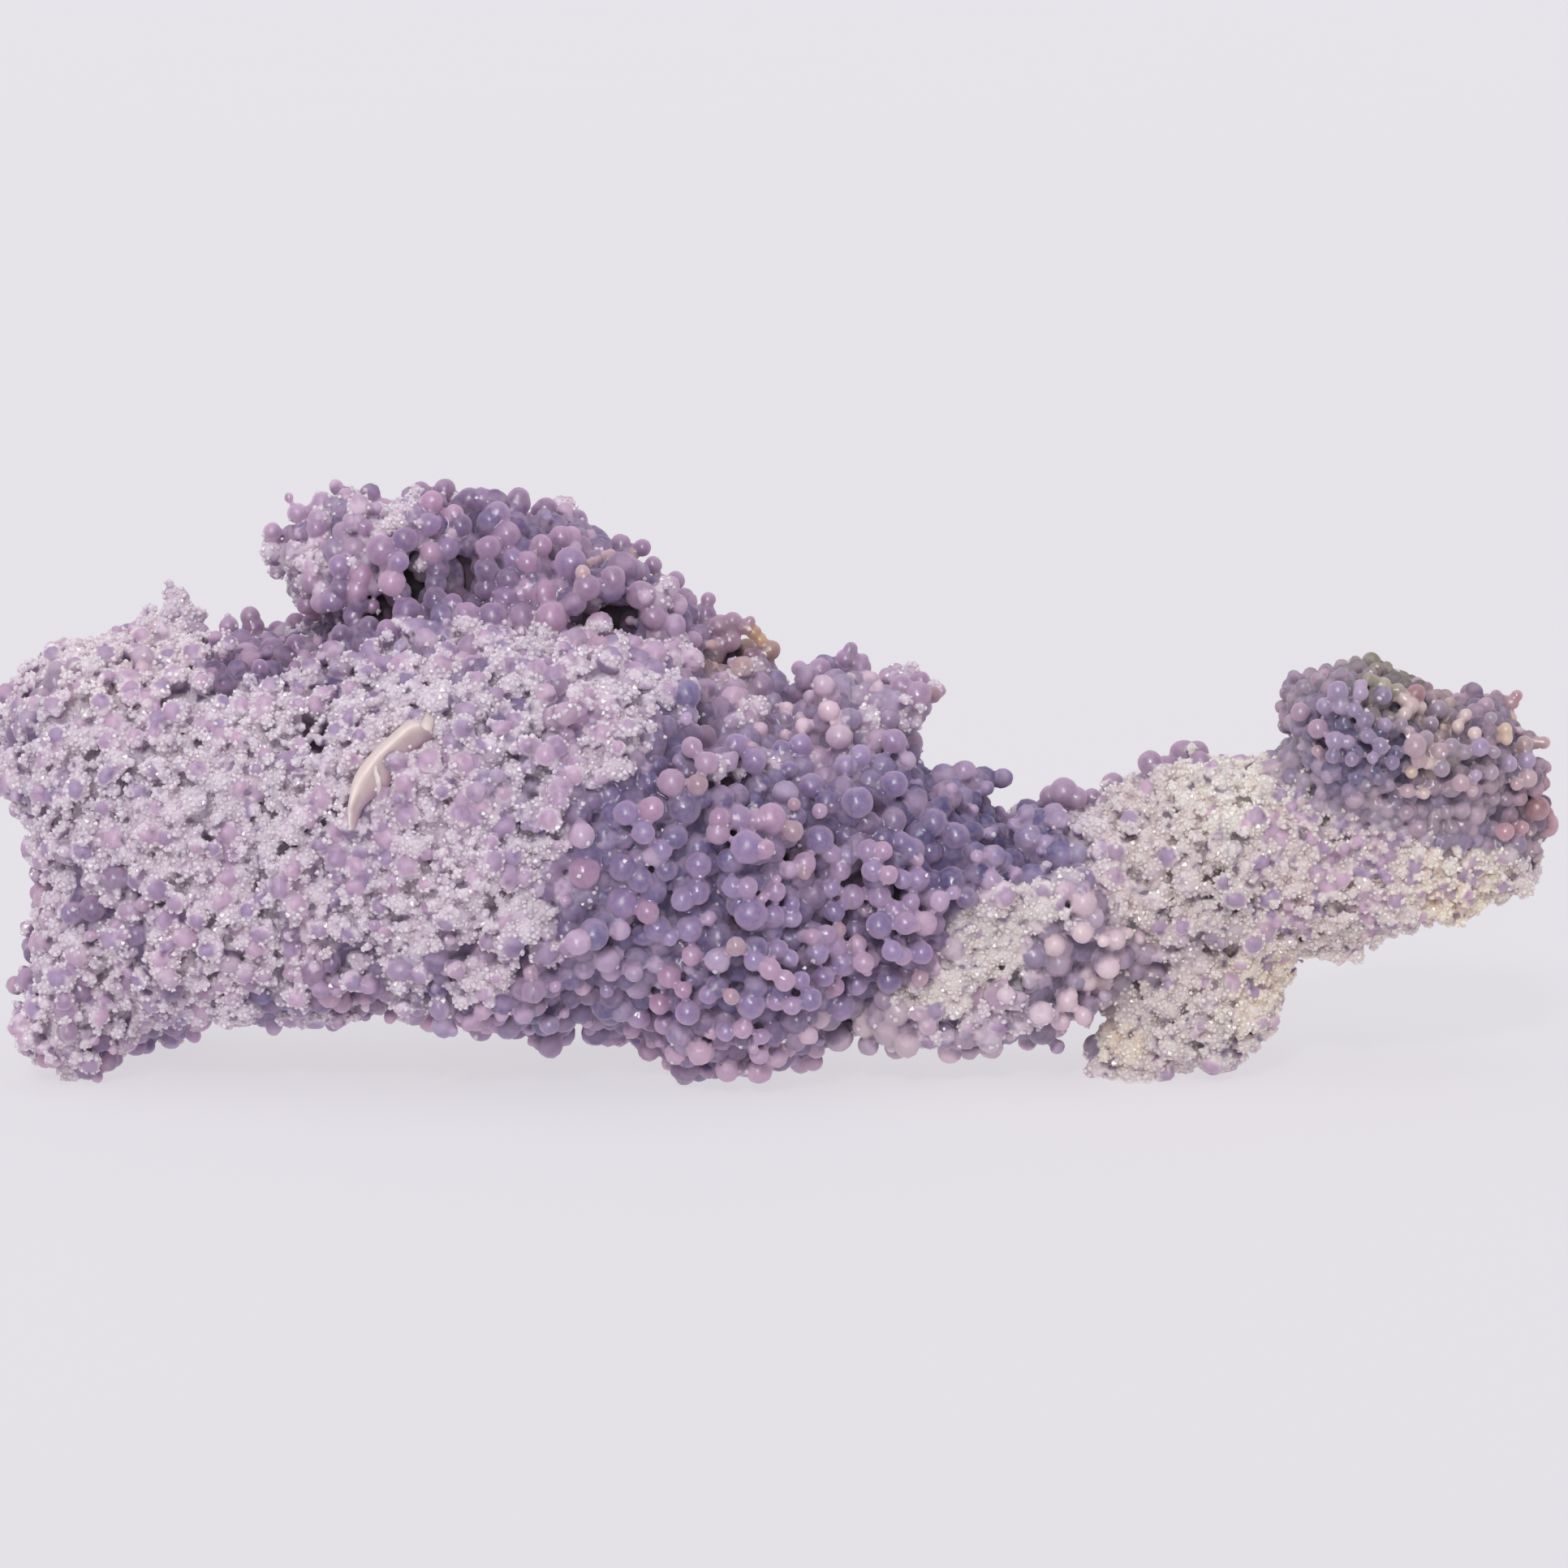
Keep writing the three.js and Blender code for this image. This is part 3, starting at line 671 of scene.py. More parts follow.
# A pale knob and a row of grapes on the left rim, grapes that hang out over the notch, a golden arch with a
# gap under it that daylight shows through, and two bunches on the shoulder.
ARCH_DEPTH = 7.0
set_by_hand = []
hand_set = [
    ball_set([(-62.9, 49.0, 0.8), (-60.4, 48.8, 1.5), (-59.2, 48.4, 1.5), (-58.0, 48.6, 0.85),
              (-60.9, 50.9, 0.75), (-60.9, 52.0, 0.5), (-59.6, 50.6, 0.85), (-58.6, 46.5, 1.1),
              (-63.1, 47.5, 1.2), (-61.5, 47.2, 1.2)],
             "#d2bfcb", sugared=0.9, bared=0.3, plane=-8),
    ball_set([(-55.6, 46.4, 1.05), (-50.6, 52.0, 0.85), (-49.4, 52.7, 0.7), (-48.4, 58.0, 1.1),
              (-45.9, 59.2, 1.1), (-46.4, 58.4, 1.1), (-51.0, 56.1, 1.0), (-51.1, 54.9, 1.0),
              (-50.9, 53.6, 0.9), (-49.3, 59.6, 0.55)],
             "#c2a5be", sugared=0.3),
    ball_set([(-53.4, 47.4, 1.05), (-53.9, 43.4, 1.35), (-47.2, 51.0, 1.15), (-46.1, 48.8, 1.15),
              (-54.2, 44.6, 0.9)],
             "#b597b2"),
    ball_set([(-53.1, 46.2, 1.2), (-50.7, 46.0, 0.95), (-48.7, 46.6, 1.2), (-47.6, 48.6, 1.1),
              (-49.0, 46.0, 1.15)],
             "#9f7ba0"),
    ball_set([(-56.1, 43.4, 1.05), (-51.2, 44.0, 1.3), (-52.5, 42.1, 0.9), (-48.7, 44.4, 1.2),
              (-46.9, 46.6, 1.3)],
             "#80628e"),
    ball_set([(-5.4, 46.4, 1.2), (-4.1, 46.9, 1.0), (-3.3, 46.5, 0.75), (-2.3, 46.9, 0.55),
              (-4.4, 44.9, 1.2), (-5.6, 44.4, 1.2)], "#a98799", depth=ARCH_DEPTH),
    ball_set([(-2.6, 46.2, 0.75)], "#c49a8a", depth=ARCH_DEPTH),
    ball_set([(-1.9, 45.7, 0.8), (-1.3, 45.0, 0.75)], "#cda565", depth=ARCH_DEPTH),
    ball_set([(-0.2, 43.9, 1.05)], "#b58e70", depth=ARCH_DEPTH),
    ball_set([(-1.1, 43.4, 1.05), (-2.3, 43.4, 0.75), (-0.7, 42.3, 1.0), (-0.6, 41.2, 1.2)], "#91687e",
             depth=ARCH_DEPTH),
    ball_set([(8.0, 44.0, 0.75), (7.5, 43.0, 1.05), (9.2, 43.0, 0.6), (4.8, 42.0, 1.15),
              (2.7, 42.0, 0.85)], "#ad90b0"),
    ball_set([(9.0, 42.0, 1.1), (15.2, 40.7, 1.0), (13.2, 40.2, 1.15), (14.9, 39.3, 1.4),
              (14.3, 36.7, 1.2)], "#a88ba8"),
    ball_set([(16.4, 39.3, 0.9)], "#a98585"),
]

# The ridge's face: grapes of many purples in chains and pillars, with dark slots between them, and a beige
# finger near its crest.
ridge_grapes = {
    "#c6a0bb": [(-34.9, 54.0, 1.1), (-32.5, 58.0, 1.0), (-24.9, 50.5, 1.1), (-39.7, 58.2, 1.45),
                (-43.3, 59.6, 1.1), (-46.8, 48.1, 1.0), (-20.6, 55.6, 1.1), (-38.9, 50.9, 1.45)],
    "#b890af": [(-25.0, 52.9, 1.2), (-23.6, 54.7, 1.2), (-21.6, 55.5, 1.3), (-23.4, 49.8, 1.45),
                (-42.5, 50.1, 1.25), (-22.6, 47.2, 1.7), (-34.7, 59.2, 1.2), (-42.0, 51.6, 1.2)],
    "#a683a8": [(-29.0, 54.5, 1.25), (-27.1, 55.8, 1.4), (-39.9, 54.2, 1.6), (-46.5, 56.4, 1.1),
                (-39.4, 46.0, 1.1), (-20.9, 57.2, 1.2), (-41.6, 56.6, 0.9), (-40.9, 48.4, 0.8),
                (-25.6, 49.8, 1.0), (-31.3, 47.6, 1.3)],
    "#9279a7": [(-33.1, 54.4, 1.2), (-26.6, 53.4, 1.0), (-35.0, 56.9, 1.2), (-45.0, 49.0, 1.2),
                (-20.6, 52.9, 1.7), (-26.5, 58.2, 1.4), (-28.0, 58.0, 1.3), (-38.2, 53.0, 1.1),
                (-44.2, 52.6, 1.2)],
    "#826596": [(-37.5, 55.3, 1.35), (-37.4, 47.9, 1.5), (-32.7, 48.7, 1.1), (-27.3, 49.2, 1.4),
                (-28.7, 47.4, 1.5), (-29.6, 59.4, 1.3), (-23.3, 58.0, 1.4), (-42.9, 47.4, 1.1),
                (-37.9, 46.3, 1.2), (-25.8, 59.0, 1.2)],
    "#624a7d": [(-34.2, 52.3, 1.35), (-31.8, 56.7, 1.25), (-29.2, 52.2, 1.25), (-29.3, 50.3, 1.2),
                (-30.9, 59.4, 1.3), (-41.2, 46.3, 1.15), (-44.1, 50.3, 1.1), (-27.0, 51.2, 1.2)],
    "#554076": [(-34.4, 50.7, 1.2), (-34.5, 49.2, 1.25), (-44.1, 45.5, 1.1), (-42.3, 48.6, 1.1)],
    "#cdaea8": [(-19.0, 52.7, 0.6), (-18.4, 53.0, 0.55), (-17.8, 53.3, 0.55), (-17.2, 53.6, 0.6),
                (-16.5, 53.8, 0.6), (-15.8, 54.0, 0.65), (-14.7, 53.6, 1.0), (-19.4, 51.9, 0.8)],
    "#a0829f": [(-16.3, 51.3, 1.35), (-19.0, 50.4, 1.4), (-13.5, 49.6, 1.5), (-18.6, 48.8, 1.2),
                (-10.4, 48.5, 1.3), (-12.2, 47.4, 1.3)],
    "#a487a5": [(-15.5, 54.9, 1.05), (-13.3, 54.5, 0.95), (-12.2, 52.7, 0.95), (-9.9, 51.1, 1.0),
                (-17.9, 55.2, 1.3), (-18.3, 56.1, 0.7), (-21.4, 57.6, 1.1), (-6.6, 49.1, 0.8),
                (-8.1, 44.9, 0.95)],
    "#937699": [(-9.1, 49.2, 1.2), (-6.8, 47.6, 1.1), (-4.6, 44.9, 1.3), (-8.3, 47.6, 1.1),
                (-14.2, 52.2, 1.2), (-20.0, 57.3, 1.2), (-23.1, 58.5, 1.2), (-25.9, 59.5, 1.2),
                (-33.4, 60.4, 1.2), (-35.8, 60.2, 1.1)],
    "#8a6a84": [(-6.6, 46.5, 1.2), (-11.4, 50.6, 1.2)],
}
hand_set += [ball_set(places, code, 0.5) for code, places in ridge_grapes.items()]

# The broad middle: pink and lilac grapes in chains and bunches, over violet and blue ones deeper down.
middle_grapes = {
    ("#bc9cb6", 1.9): [(-8.3, 33.8, 1.1), (-6.8, 32.2, 1.2), (-10.4, 30.2, 1.4), (-5.6, 24.9, 1.2),
                       (-1.4, 26.1, 1.0), (4.8, 27.2, 0.8), (3.3, 21.7, 1.2), (11.3, 23.0, 1.05),
                       (14.9, 22.1, 0.7), (11.9, 20.5, 1.0), (14.6, 15.2, 0.7), (4.0, 14.0, 0.85),
                       (-1.0, 18.1, 0.55), (0.4, 20.0, 0.5), (-8.4, 12.0, 1.05), (-0.3, 10.6, 1.15),
                       (1.2, 9.4, 1.1), (9.4, 11.3, 1.1), (8.7, 13.2, 1.0), (-3.1, 4.3, 1.05)],
    ("#b48cac", 1.7): [(-19.4, 20.8, 1.6), (-5.5, 26.4, 1.1), (-12.9, 16.6, 1.2), (6.4, 8.8, 1.05),
                       (-9.2, 8.4, 0.9), (-11.7, 6.9, 1.1), (-10.7, 9.8, 1.2), (-12.4, 27.4, 1.3),
                       (-0.9, 23.2, 1.1), (-0.2, 26.4, 1.6)],
    ("#a68cb2", 1.6): [(12.4, 34.5, 1.3), (-3.5, 26.4, 1.4), (9.9, 23.0, 1.2), (7.0, 21.0, 1.1),
                       (11.0, 18.2, 1.2), (12.5, 16.9, 1.0), (13.7, 15.4, 1.2), (14.2, 17.6, 1.0),
                       (5.5, 14.3, 1.0), (-2.6, 19.2, 1.1), (0.3, 18.8, 1.1), (8.2, 18.2, 1.3),
                       (6.0, 22.7, 1.0), (-13.8, 5.5, 1.2), (-11.2, 4.8, 1.1), (13.4, 12.0, 1.0),
                       (6.5, 13.0, 1.2), (-1.2, 3.5, 0.85), (0.3, 7.2, 1.0), (2.0, 6.8, 1.0)],
    ("#9684b2", 1.4): [(-15.1, 27.0, 1.25), (-13.3, 24.9, 1.2), (-11.4, 23.2, 1.1), (-9.3, 17.9, 1.2),
                       (-8.6, 14.9, 1.4), (-4.1, 19.2, 1.1), (2.0, 15.9, 1.0), (7.7, 22.5, 1.1),
                       (10.3, 21.0, 1.2), (6.0, 19.1, 1.0), (13.4, 20.0, 1.0), (14.9, 20.0, 1.2),
                       (4.6, 12.3, 1.2), (1.7, 11.7, 1.0), (-1.9, 11.5, 1.1), (12.3, 12.5, 1.1),
                       (8.7, 9.0, 1.15), (2.9, 34.1, 1.2), (7.5, 31.9, 1.2), (8.9, 32.9, 1.2),
                       (-10.6, 13.9, 0.85), (-4.9, 4.0, 1.0)],
    ("#8874a6", 1.1): [(-7.8, 18.8, 1.4), (-7.6, 21.5, 1.3), (-2.3, 16.4, 1.7), (0.0, 16.2, 1.2),
                       (2.0, 17.4, 0.85), (4.0, 29.8, 1.3), (0.5, 12.6, 1.1), (7.2, 11.3, 1.4),
                       (5.3, 9.8, 1.1), (2.9, 9.4, 1.0), (15.4, 12.3, 1.2), (-8.8, 6.0, 1.3),
                       (-2.3, 6.9, 1.5), (7.0, 6.7, 1.5), (-15.5, 17.6, 1.6), (-1.9, 32.4, 1.3),
                       (-3.8, 34.1, 1.2), (8.4, 14.7, 1.0), (-6.7, 7.9, 1.0), (-2.6, 23.4, 1.7)],
    ("#706298", 0.9): [(-13.6, 20.0, 1.3), (-15.5, 21.3, 1.4), (0.9, 33.6, 1.0), (1.7, 31.5, 0.9),
                       (12.5, 30.0, 1.4), (8.7, 28.1, 1.6), (4.8, 24.2, 1.5), (13.2, 23.9, 1.1),
                       (14.2, 23.0, 1.4), (6.3, 16.6, 1.1), (11.0, 15.2, 1.4), (-11.9, 14.9, 1.4),
                       (3.9, 7.4, 1.2)],
    ("#60568a", 0.7): [(-9.1, 27.6, 1.8), (12.0, 9.4, 1.3), (16.5, 26.0, 1.4), (18.8, 24.6, 1.4)],
    ("#b2969c", 1.9): [(-7.7, 30.0, 1.1), (2.1, 25.1, 1.1), (2.2, 27.9, 0.7), (3.3, 20.6, 0.65),
                       (6.9, 14.7, 0.7), (-3.8, 13.0, 1.0), (15.2, 9.6, 0.85), (-4.3, 7.7, 0.85)],
}
hand_set += [ball_set(places, code, forward) for (code, forward), places in middle_grapes.items()]

# The arm's crest carries a few bare purple grapes between the neck and the sugar.
arm_grapes = [(38.5, 32.9, 1.3), (40.1, 32.4, 1.3), (41.9, 33.8, 1.5), (43.3, 34.0, 1.2),
              (43.6, 33.0, 1.1), (34.7, 30.7, 1.2), (29.7, 29.9, 1.5), (28.4, 29.4, 1.2),
              (31.0, 29.3, 1.2), (32.6, 29.3, 1.0)]
hand_set.append(ball_set(arm_grapes, "#a98fa9", plane=-4))

# The head's grapes are small, round and many-coloured: lilac and slate blue on the left, green and rose brown
# at the top, cream and dusty pink over the right half, rose at the far end.
head_grapes = {
    "#9c8ead": [(57.2, 40.9, 1.1), (58.9, 39.0, 0.8), (55.9, 39.4, 0.9), (62.0, 37.5, 0.75),
                (57.0, 35.9, 1.0), (58.3, 35.7, 0.7), (60.8, 34.1, 0.6), (71.7, 35.2, 1.0),
                (74.7, 33.5, 0.85), (76.5, 33.8, 0.9)],
    "#b0a2bc": [(57.5, 39.4, 0.85), (59.5, 40.8, 0.8), (59.5, 41.5, 0.7), (71.3, 32.3, 0.65)],
    "#7a7294": [(60.0, 38.0, 0.95), (56.8, 34.3, 0.8), (58.7, 33.9, 0.75), (62.8, 33.6, 0.75),
                (61.8, 40.4, 0.9), (60.3, 36.3, 0.8), (61.6, 35.3, 0.85)],
    "#ae93a3": [(53.4, 38.8, 1.0), (55.2, 37.1, 1.0), (65.2, 41.6, 0.8), (69.4, 39.8, 1.0),
                (72.2, 39.5, 0.85)],
    "#8c8f6c": [(60.6, 42.9, 0.55), (60.3, 42.2, 0.7), (60.9, 42.0, 0.6), (63.2, 41.0, 0.8)],
    "#b8b488": [(61.8, 41.6, 0.8), (63.6, 42.0, 0.6)],
    "#9a6862": [(66.2, 41.3, 0.65), (65.1, 40.7, 1.0), (77.6, 28.9, 1.3), (78.3, 28.3, 1.0)],
    "#e2d0bc": [(64.6, 39.4, 0.85), (65.7, 39.3, 0.6), (64.0, 38.6, 0.75), (63.8, 40.2, 0.75),
                (70.2, 38.5, 0.7), (69.4, 37.3, 0.7), (71.1, 36.6, 0.75), (66.1, 30.4, 0.6),
                (66.4, 33.5, 0.6)],
    "#e4cea2": [(64.8, 32.6, 0.65), (74.2, 37.0, 0.75), (74.3, 36.1, 0.7), (74.7, 38.2, 0.7)],
    "#c2a9a6": [(65.1, 35.3, 1.2), (65.5, 33.9, 0.85), (67.6, 34.8, 0.9), (64.5, 36.8, 0.6),
                (70.9, 39.1, 0.6), (55.2, 34.8, 0.65), (64.4, 30.7, 0.75), (69.8, 31.5, 0.9),
                (68.6, 30.7, 0.6), (71.0, 30.7, 0.6), (76.6, 32.0, 1.0), (75.5, 31.4, 0.7)],
    "#968c94": [(63.7, 37.5, 0.7), (66.7, 37.6, 0.8), (67.4, 39.1, 0.95), (68.8, 35.3, 0.9),
                (70.1, 34.7, 0.8), (72.7, 38.2, 0.65), (73.1, 34.7, 0.7), (67.9, 33.0, 0.9),
                (66.2, 36.2, 0.8), (72.9, 32.6, 0.8)],
    "#be9291": [(73.9, 39.6, 0.95), (74.8, 39.8, 0.8), (75.3, 40.5, 0.65), (73.2, 40.5, 0.65),
                (78.6, 27.2, 1.3), (74.4, 26.5, 1.0), (76.1, 26.9, 0.75)],
    "#b8a093": [(76.2, 35.5, 0.9), (77.2, 35.7, 0.75), (78.1, 35.7, 0.7)],
}
hand_set += [ball_set(places, code, 0.35, by_size=1.0, plane=-8, around=0.7)
             for code, places in head_grapes.items()]

# Strewn grapes keep off those set one by one, by so many millimetres, and off the gap under the arch: the
# middle of that gap in x and z, then its half width and half height.
ROOM_TAKEN, ROOM_FREE, FAR_OFF = 1.1, 1.8, 9.0
ARCH_GAP = (-2.7, 44.7, 2.2, 1.8)
CLUSTER_SIZE = 4.2 * mm
room = np.full(len(x), FAR_OFF)
for *centre, radius in set_by_hand:
    room = np.minimum(room, np.linalg.norm(heart_at / mm - np.array(centre), axis=1) - radius)
room = ramp(room, ROOM_TAKEN, ROOM_FREE)
gap_x, gap_z, gap_half_x, gap_half_z = ARCH_GAP
clear_of_gap = ramp(np.hypot((x - gap_x) / gap_half_x, (z - gap_z) / gap_half_z), 0.9, 1.1)

# The low grapes, the higher ones in their bunches, the small nubs on those and the lumps under the sugar
# all grow from seeds strewn over the heart. Grapes on the head are smaller and closer.
# The pit mark paints the pits dark as shade and makes them matt.
mark(heart_mesh, "pit", 0.8 * pits)
PLUMP_ALONG = ([-80, -30, -18, 5, 30, 48, 52], [0.95, 1.0, 1.1, 1.1, 1.05, 1.0, 0.74])
mark(heart_mesh, "plump", np.interp(x, *PLUMP_ALONG))
mark(heart_mesh, "where", np.zeros(len(x)))
low = {"Spacing": 2.0 * mm, "Smallest": 1.05 * mm, "Largest": 1.5 * mm, "Lift": 0.15 * mm, "Rise": 0.35 * mm,
       "Stagger": 0.35 * mm, "Height": 0.0, "Bare": 0.5}
high = {"Spacing": 1.8 * mm, "Smallest": 0.95 * mm, "Largest": 1.4 * mm, "Lift": 0.9 * mm, "Rise": 1.15 * mm,
        "Stagger": 0.45 * mm, "Height": 0.8, "Bare": 0.6}
nubs = {"Spacing": 3.0 * mm, "Smallest": 0.5 * mm, "Largest": 0.85 * mm, "Lift": 1.2 * mm, "Rise": 0.9 * mm,
        "Stagger": 0.3 * mm, "Height": 0.9, "Bare": 1.0}
lumps = {"Spacing": 1.2 * mm, "Smallest": 0.5 * mm, "Largest": 0.85 * mm, "Lift": 1.0 * mm, "Rise": 0.9 * mm,
         "Stagger": 0.4 * mm, "Height": 0.5, "Bare": 0.0, "Detail": 1}
caps = {"Spacing": 2.1 * mm, "Smallest": 0.8 * mm, "Largest": 1.5 * mm, "Lift": 1.1 * mm, "Rise": 1.1 * mm,
        "Stagger": 0.35 * mm, "Height": 0.6, "Bare": 0.9}
crust = {"Spacing": 1.5 * mm, "Smallest": 0.9 * mm, "Largest": 1.5 * mm, "Lift": 0.5 * mm, "Rise": 0.6 * mm,
         "Stagger": 0.3 * mm, "Height": 0.6, "Bare": 0.0}
HEAD_LOW = {"Spacing": 1.5 * mm}
HEAD_HIGH = {"Spacing": 1.35 * mm, "Lift": 0.55 * mm, "Rise": 0.8 * mm, "Height": 0.45}
grapes_on = grape_tree()


def strewn(sizes, cover, seed):
    """The grapes that grow on the heart where the cover says."""
    heart_mesh.attributes["where"].data.foreach_set("value", cover.astype(np.float32))
    return grown(grapes_on, heart_mesh, sizes | {"Seed": seed, "Material": grape_skin})


on_head = ramp(x, 49, 50)
open_here = clear_of_rind * (1 - ramp(pits, 0.3, 0.7)) * clear_of_gap
in_bunches = open_here * room * ramp(proud, 0.2, 0.5)
slant = sugar_slant * sugar
in_clusters = ramp(noise_at(skin, CLUSTER_SIZE, 58.0) + 0.25 * bare_patches, -0.1, 0.15)
on_arm = ramp(x, 28, 34)
layers = [
    strewn(low, (1 - on_arm) * (1 - pits) * (1 - slant), 3), strewn(low | HEAD_LOW, on_head, 4),
    strewn(low | {"Bare": 0.2}, on_arm * (1 - on_head), 9),
    strewn(lumps, sugar * clear_of_rind, 5), strewn(crust, slant, 7),
    strewn(caps, sugar * (1 - on_arm) * (1 - slant) * in_clusters * open_here, 6),
    strewn(caps | {"Bare": 0.35}, 0.6 * sugar * on_arm * (1 - slant) * in_clusters * open_here, 8),
    strewn(high, in_bunches * (1 - on_head) * (1 - 0.75 * sugar) * (1 - slant), 11),
    strewn(high | HEAD_HIGH, open_here * room * on_head, 12),
    strewn(nubs, open_here * room * (1 - 0.8 * sugar) * (1 - 0.7 * on_head), 13),
]

# The grapes ran together into one body with the heart, so one closed skin is drawn over the whole. It is
# laid close on the round of each grape and bridges the creases, and takes each grape's marks.
BODY_GRID = 0.28 * mm
BODY_SOFTENING = 1
KEPT_FACES = 0.5
# A face of the skin is a crease where it turns away from the grape next to it, from wholly to not at all.
CREASED, ROUND = 0.35, 0.7
CRUST_LUMP = 0.95 * mm
CRUST_HEIGHT = 0.32 * mm
count = len(x)
# The heart's own skin is marked lowest, so the floor between the grapes takes the painted dark shade.
for name, values in {"luck": np.full(count, 0.5), "bare": np.zeros(count), "height": np.full(count, -0.5),
                     "out": outward}.items():
    mark(heart_mesh, name, values)
source = joined_mesh(layers + hand_set + [heart_mesh.copy()], "grapes")


def largest_part(mesh):
    """Takes out of the mesh all that isn't joined to its largest part: loose bits and closed pockets."""
    ends = np.empty(len(mesh.edges) * 2, np.int32)
    mesh.edges.foreach_get("vertices", ends)
    a, b = ends.reshape(-1, 2).T
    part = np.arange(len(mesh.vertices))
    while True:
        least = np.minimum(part[a], part[b])
        lower = part.copy()
        np.minimum.at(lower, part[a], least)
        np.minimum.at(lower, part[b], least)
        lower = lower[lower]
        if (lower == part).all():
            break
        part = lower
    main = np.bincount(part).argmax()
    shaped = bmesh.new()
    shaped.from_mesh(mesh)
    shaped.verts.ensure_lookup_table()
    loose = [shaped.verts[n] for n in np.flatnonzero(part != main)]
    bmesh.ops.delete(shaped, geom=loose, context="VERTS")
    shaped.to_mesh(mesh)
    shaped.free()
    mesh.update()


def thinned(mesh, share):
    """The same skin with a share of its faces, kept where it bends most."""
    carrier = show(mesh, "thinning")
    fewer = carrier.modifiers.new("fewer", "DECIMATE")
    fewer.ratio = share
    fewer.use_collapse_triangulate = True
    return finished(carrier)


def laid_close(mesh):
    """Lays a skin on the round of the grapes, apart from creases. Returns the face nearest to each point."""
    at = rows_of(mesh.vertices, "co")
    found = [source_tree.find_nearest(Vector(p)) for p in at]
    on_grape = np.array([spot[0] for spot in found])
    faces_out = (np.array([spot[1] for spot in found]) * rows_of(mesh.vertex_normals, "vector")).sum(axis=1)
    at += (on_grape - at) * ramp(faces_out, CREASED, ROUND)[:, None]
    put_at(mesh, at)
    return [spot[2] for spot in found]


holder = show(source, "source")
bpy.context.view_layer.update()
source_tree = BVHTree.FromObject(holder, bpy.context.evaluated_depsgraph_get())
fine_skin = melted(source.copy(), BODY_GRID, BODY_SOFTENING)
largest_part(fine_skin)
laid_close(fine_skin)
body = thinned(fine_skin, KEPT_FACES)
nearest_face = laid_close(body)
starts = np.empty(len(source.polygons), np.int32)
source.polygons.foreach_get("loop_start", starts)
corner_points = np.empty(len(source.loops), np.int32)
source.loops.foreach_get("vertex_index", corner_points)
next_to = corner_points[starts[nearest_face]]
widths = {kind: (key, width) for width, (kind, key) in MARK_KINDS.items()}
taken = {}
for name in ("tone", "frost", "sugar", "height", "luck", "bare", "pit", "out"):
    kept = source.attributes[name]
    key, width = widths[kept.data_type]
    values = np.empty(len(source.vertices) * width, np.float32)
    kept.data.foreach_get(key, values)
    taken[name] = values.reshape(-1, width)[next_to]
    mark(body, name, taken[name])
body_at = rows_of(body.vertices, "co")
body_out = rows_of(body.vertex_normals, "vector")
mark(body, "crown", (body_out * taken["out"]).sum(axis=1))
# The crust's lumps: one mark raises them and paints their hollows darker as shade.
clump = noise_at(body_at, CRUST_LUMP, 7.0)
mark(body, "clump", clump)
body_at += body_out * (clump * CRUST_HEIGHT)[:, None] * taken["sugar"]
body_at[:, 2] = np.maximum(body_at[:, 2], 0)
put_at(body, body_at)
smoothed(body)
body.materials.clear()
bpy.data.objects.remove(holder)


def slice_of(mesh, start, end):
    """The part of a closed mesh between two planes across X, closed again with a flat face at each."""
    shaped = bmesh.new()
    shaped.from_mesh(mesh)
    for at_x, way in ((start, -1), (end, 1)):
        cut = bmesh.ops.bisect_plane(shaped, geom=shaped.verts[:] + shaped.edges[:] + shaped.faces[:],
                                     plane_co=(at_x * mm, 0, 0), plane_no=(way, 0, 0), clear_outer=True)
        rims = [edge for edge in cut["geom_cut"] if isinstance(edge, bmesh.types.BMEdge)]
        for face in bmesh.ops.holes_fill(shaped, edges=rims, sides=0)["faces"]:
            face.smooth = False
        for edge in rims:
            edge.smooth = False
    part = bpy.data.meshes.new("stone")
    shaped.to_mesh(part)
    shaped.free()
    part.materials.append(grape_skin)
    return part


# Stretches of the stone, from its left end to its right, each with where it starts and ends along X.
STRETCHES = {"left": (-90, -50), "ridge": (-50, -24), "middle": (-24, 8), "neck": (8, 46), "head": (46, 90)}
for stretch, (start, end) in STRETCHES.items():
    part = show(slice_of(body, start, end), "stone_" + stretch)
    if stretch == "middle":
        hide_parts("chalcedony")
    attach(part, "root")


# The sugar is druse: a late crust of tiny quartz crystals that settled on the grapes like hoar frost. It
# coats lumps and the sides of grapes, and many a grape's bare purple top looks out of it.

GRAIN_SPACING, GRAIN_SMALLEST, GRAIN_LARGEST = 0.48 * mm, 0.2 * mm, 0.38 * mm
CLEAR_OF_SKIN = 0.08 * mm
HIDDEN_UNDER = 3.5 * mm
STRAYS = 0.007
FULL_TURN = 6.28


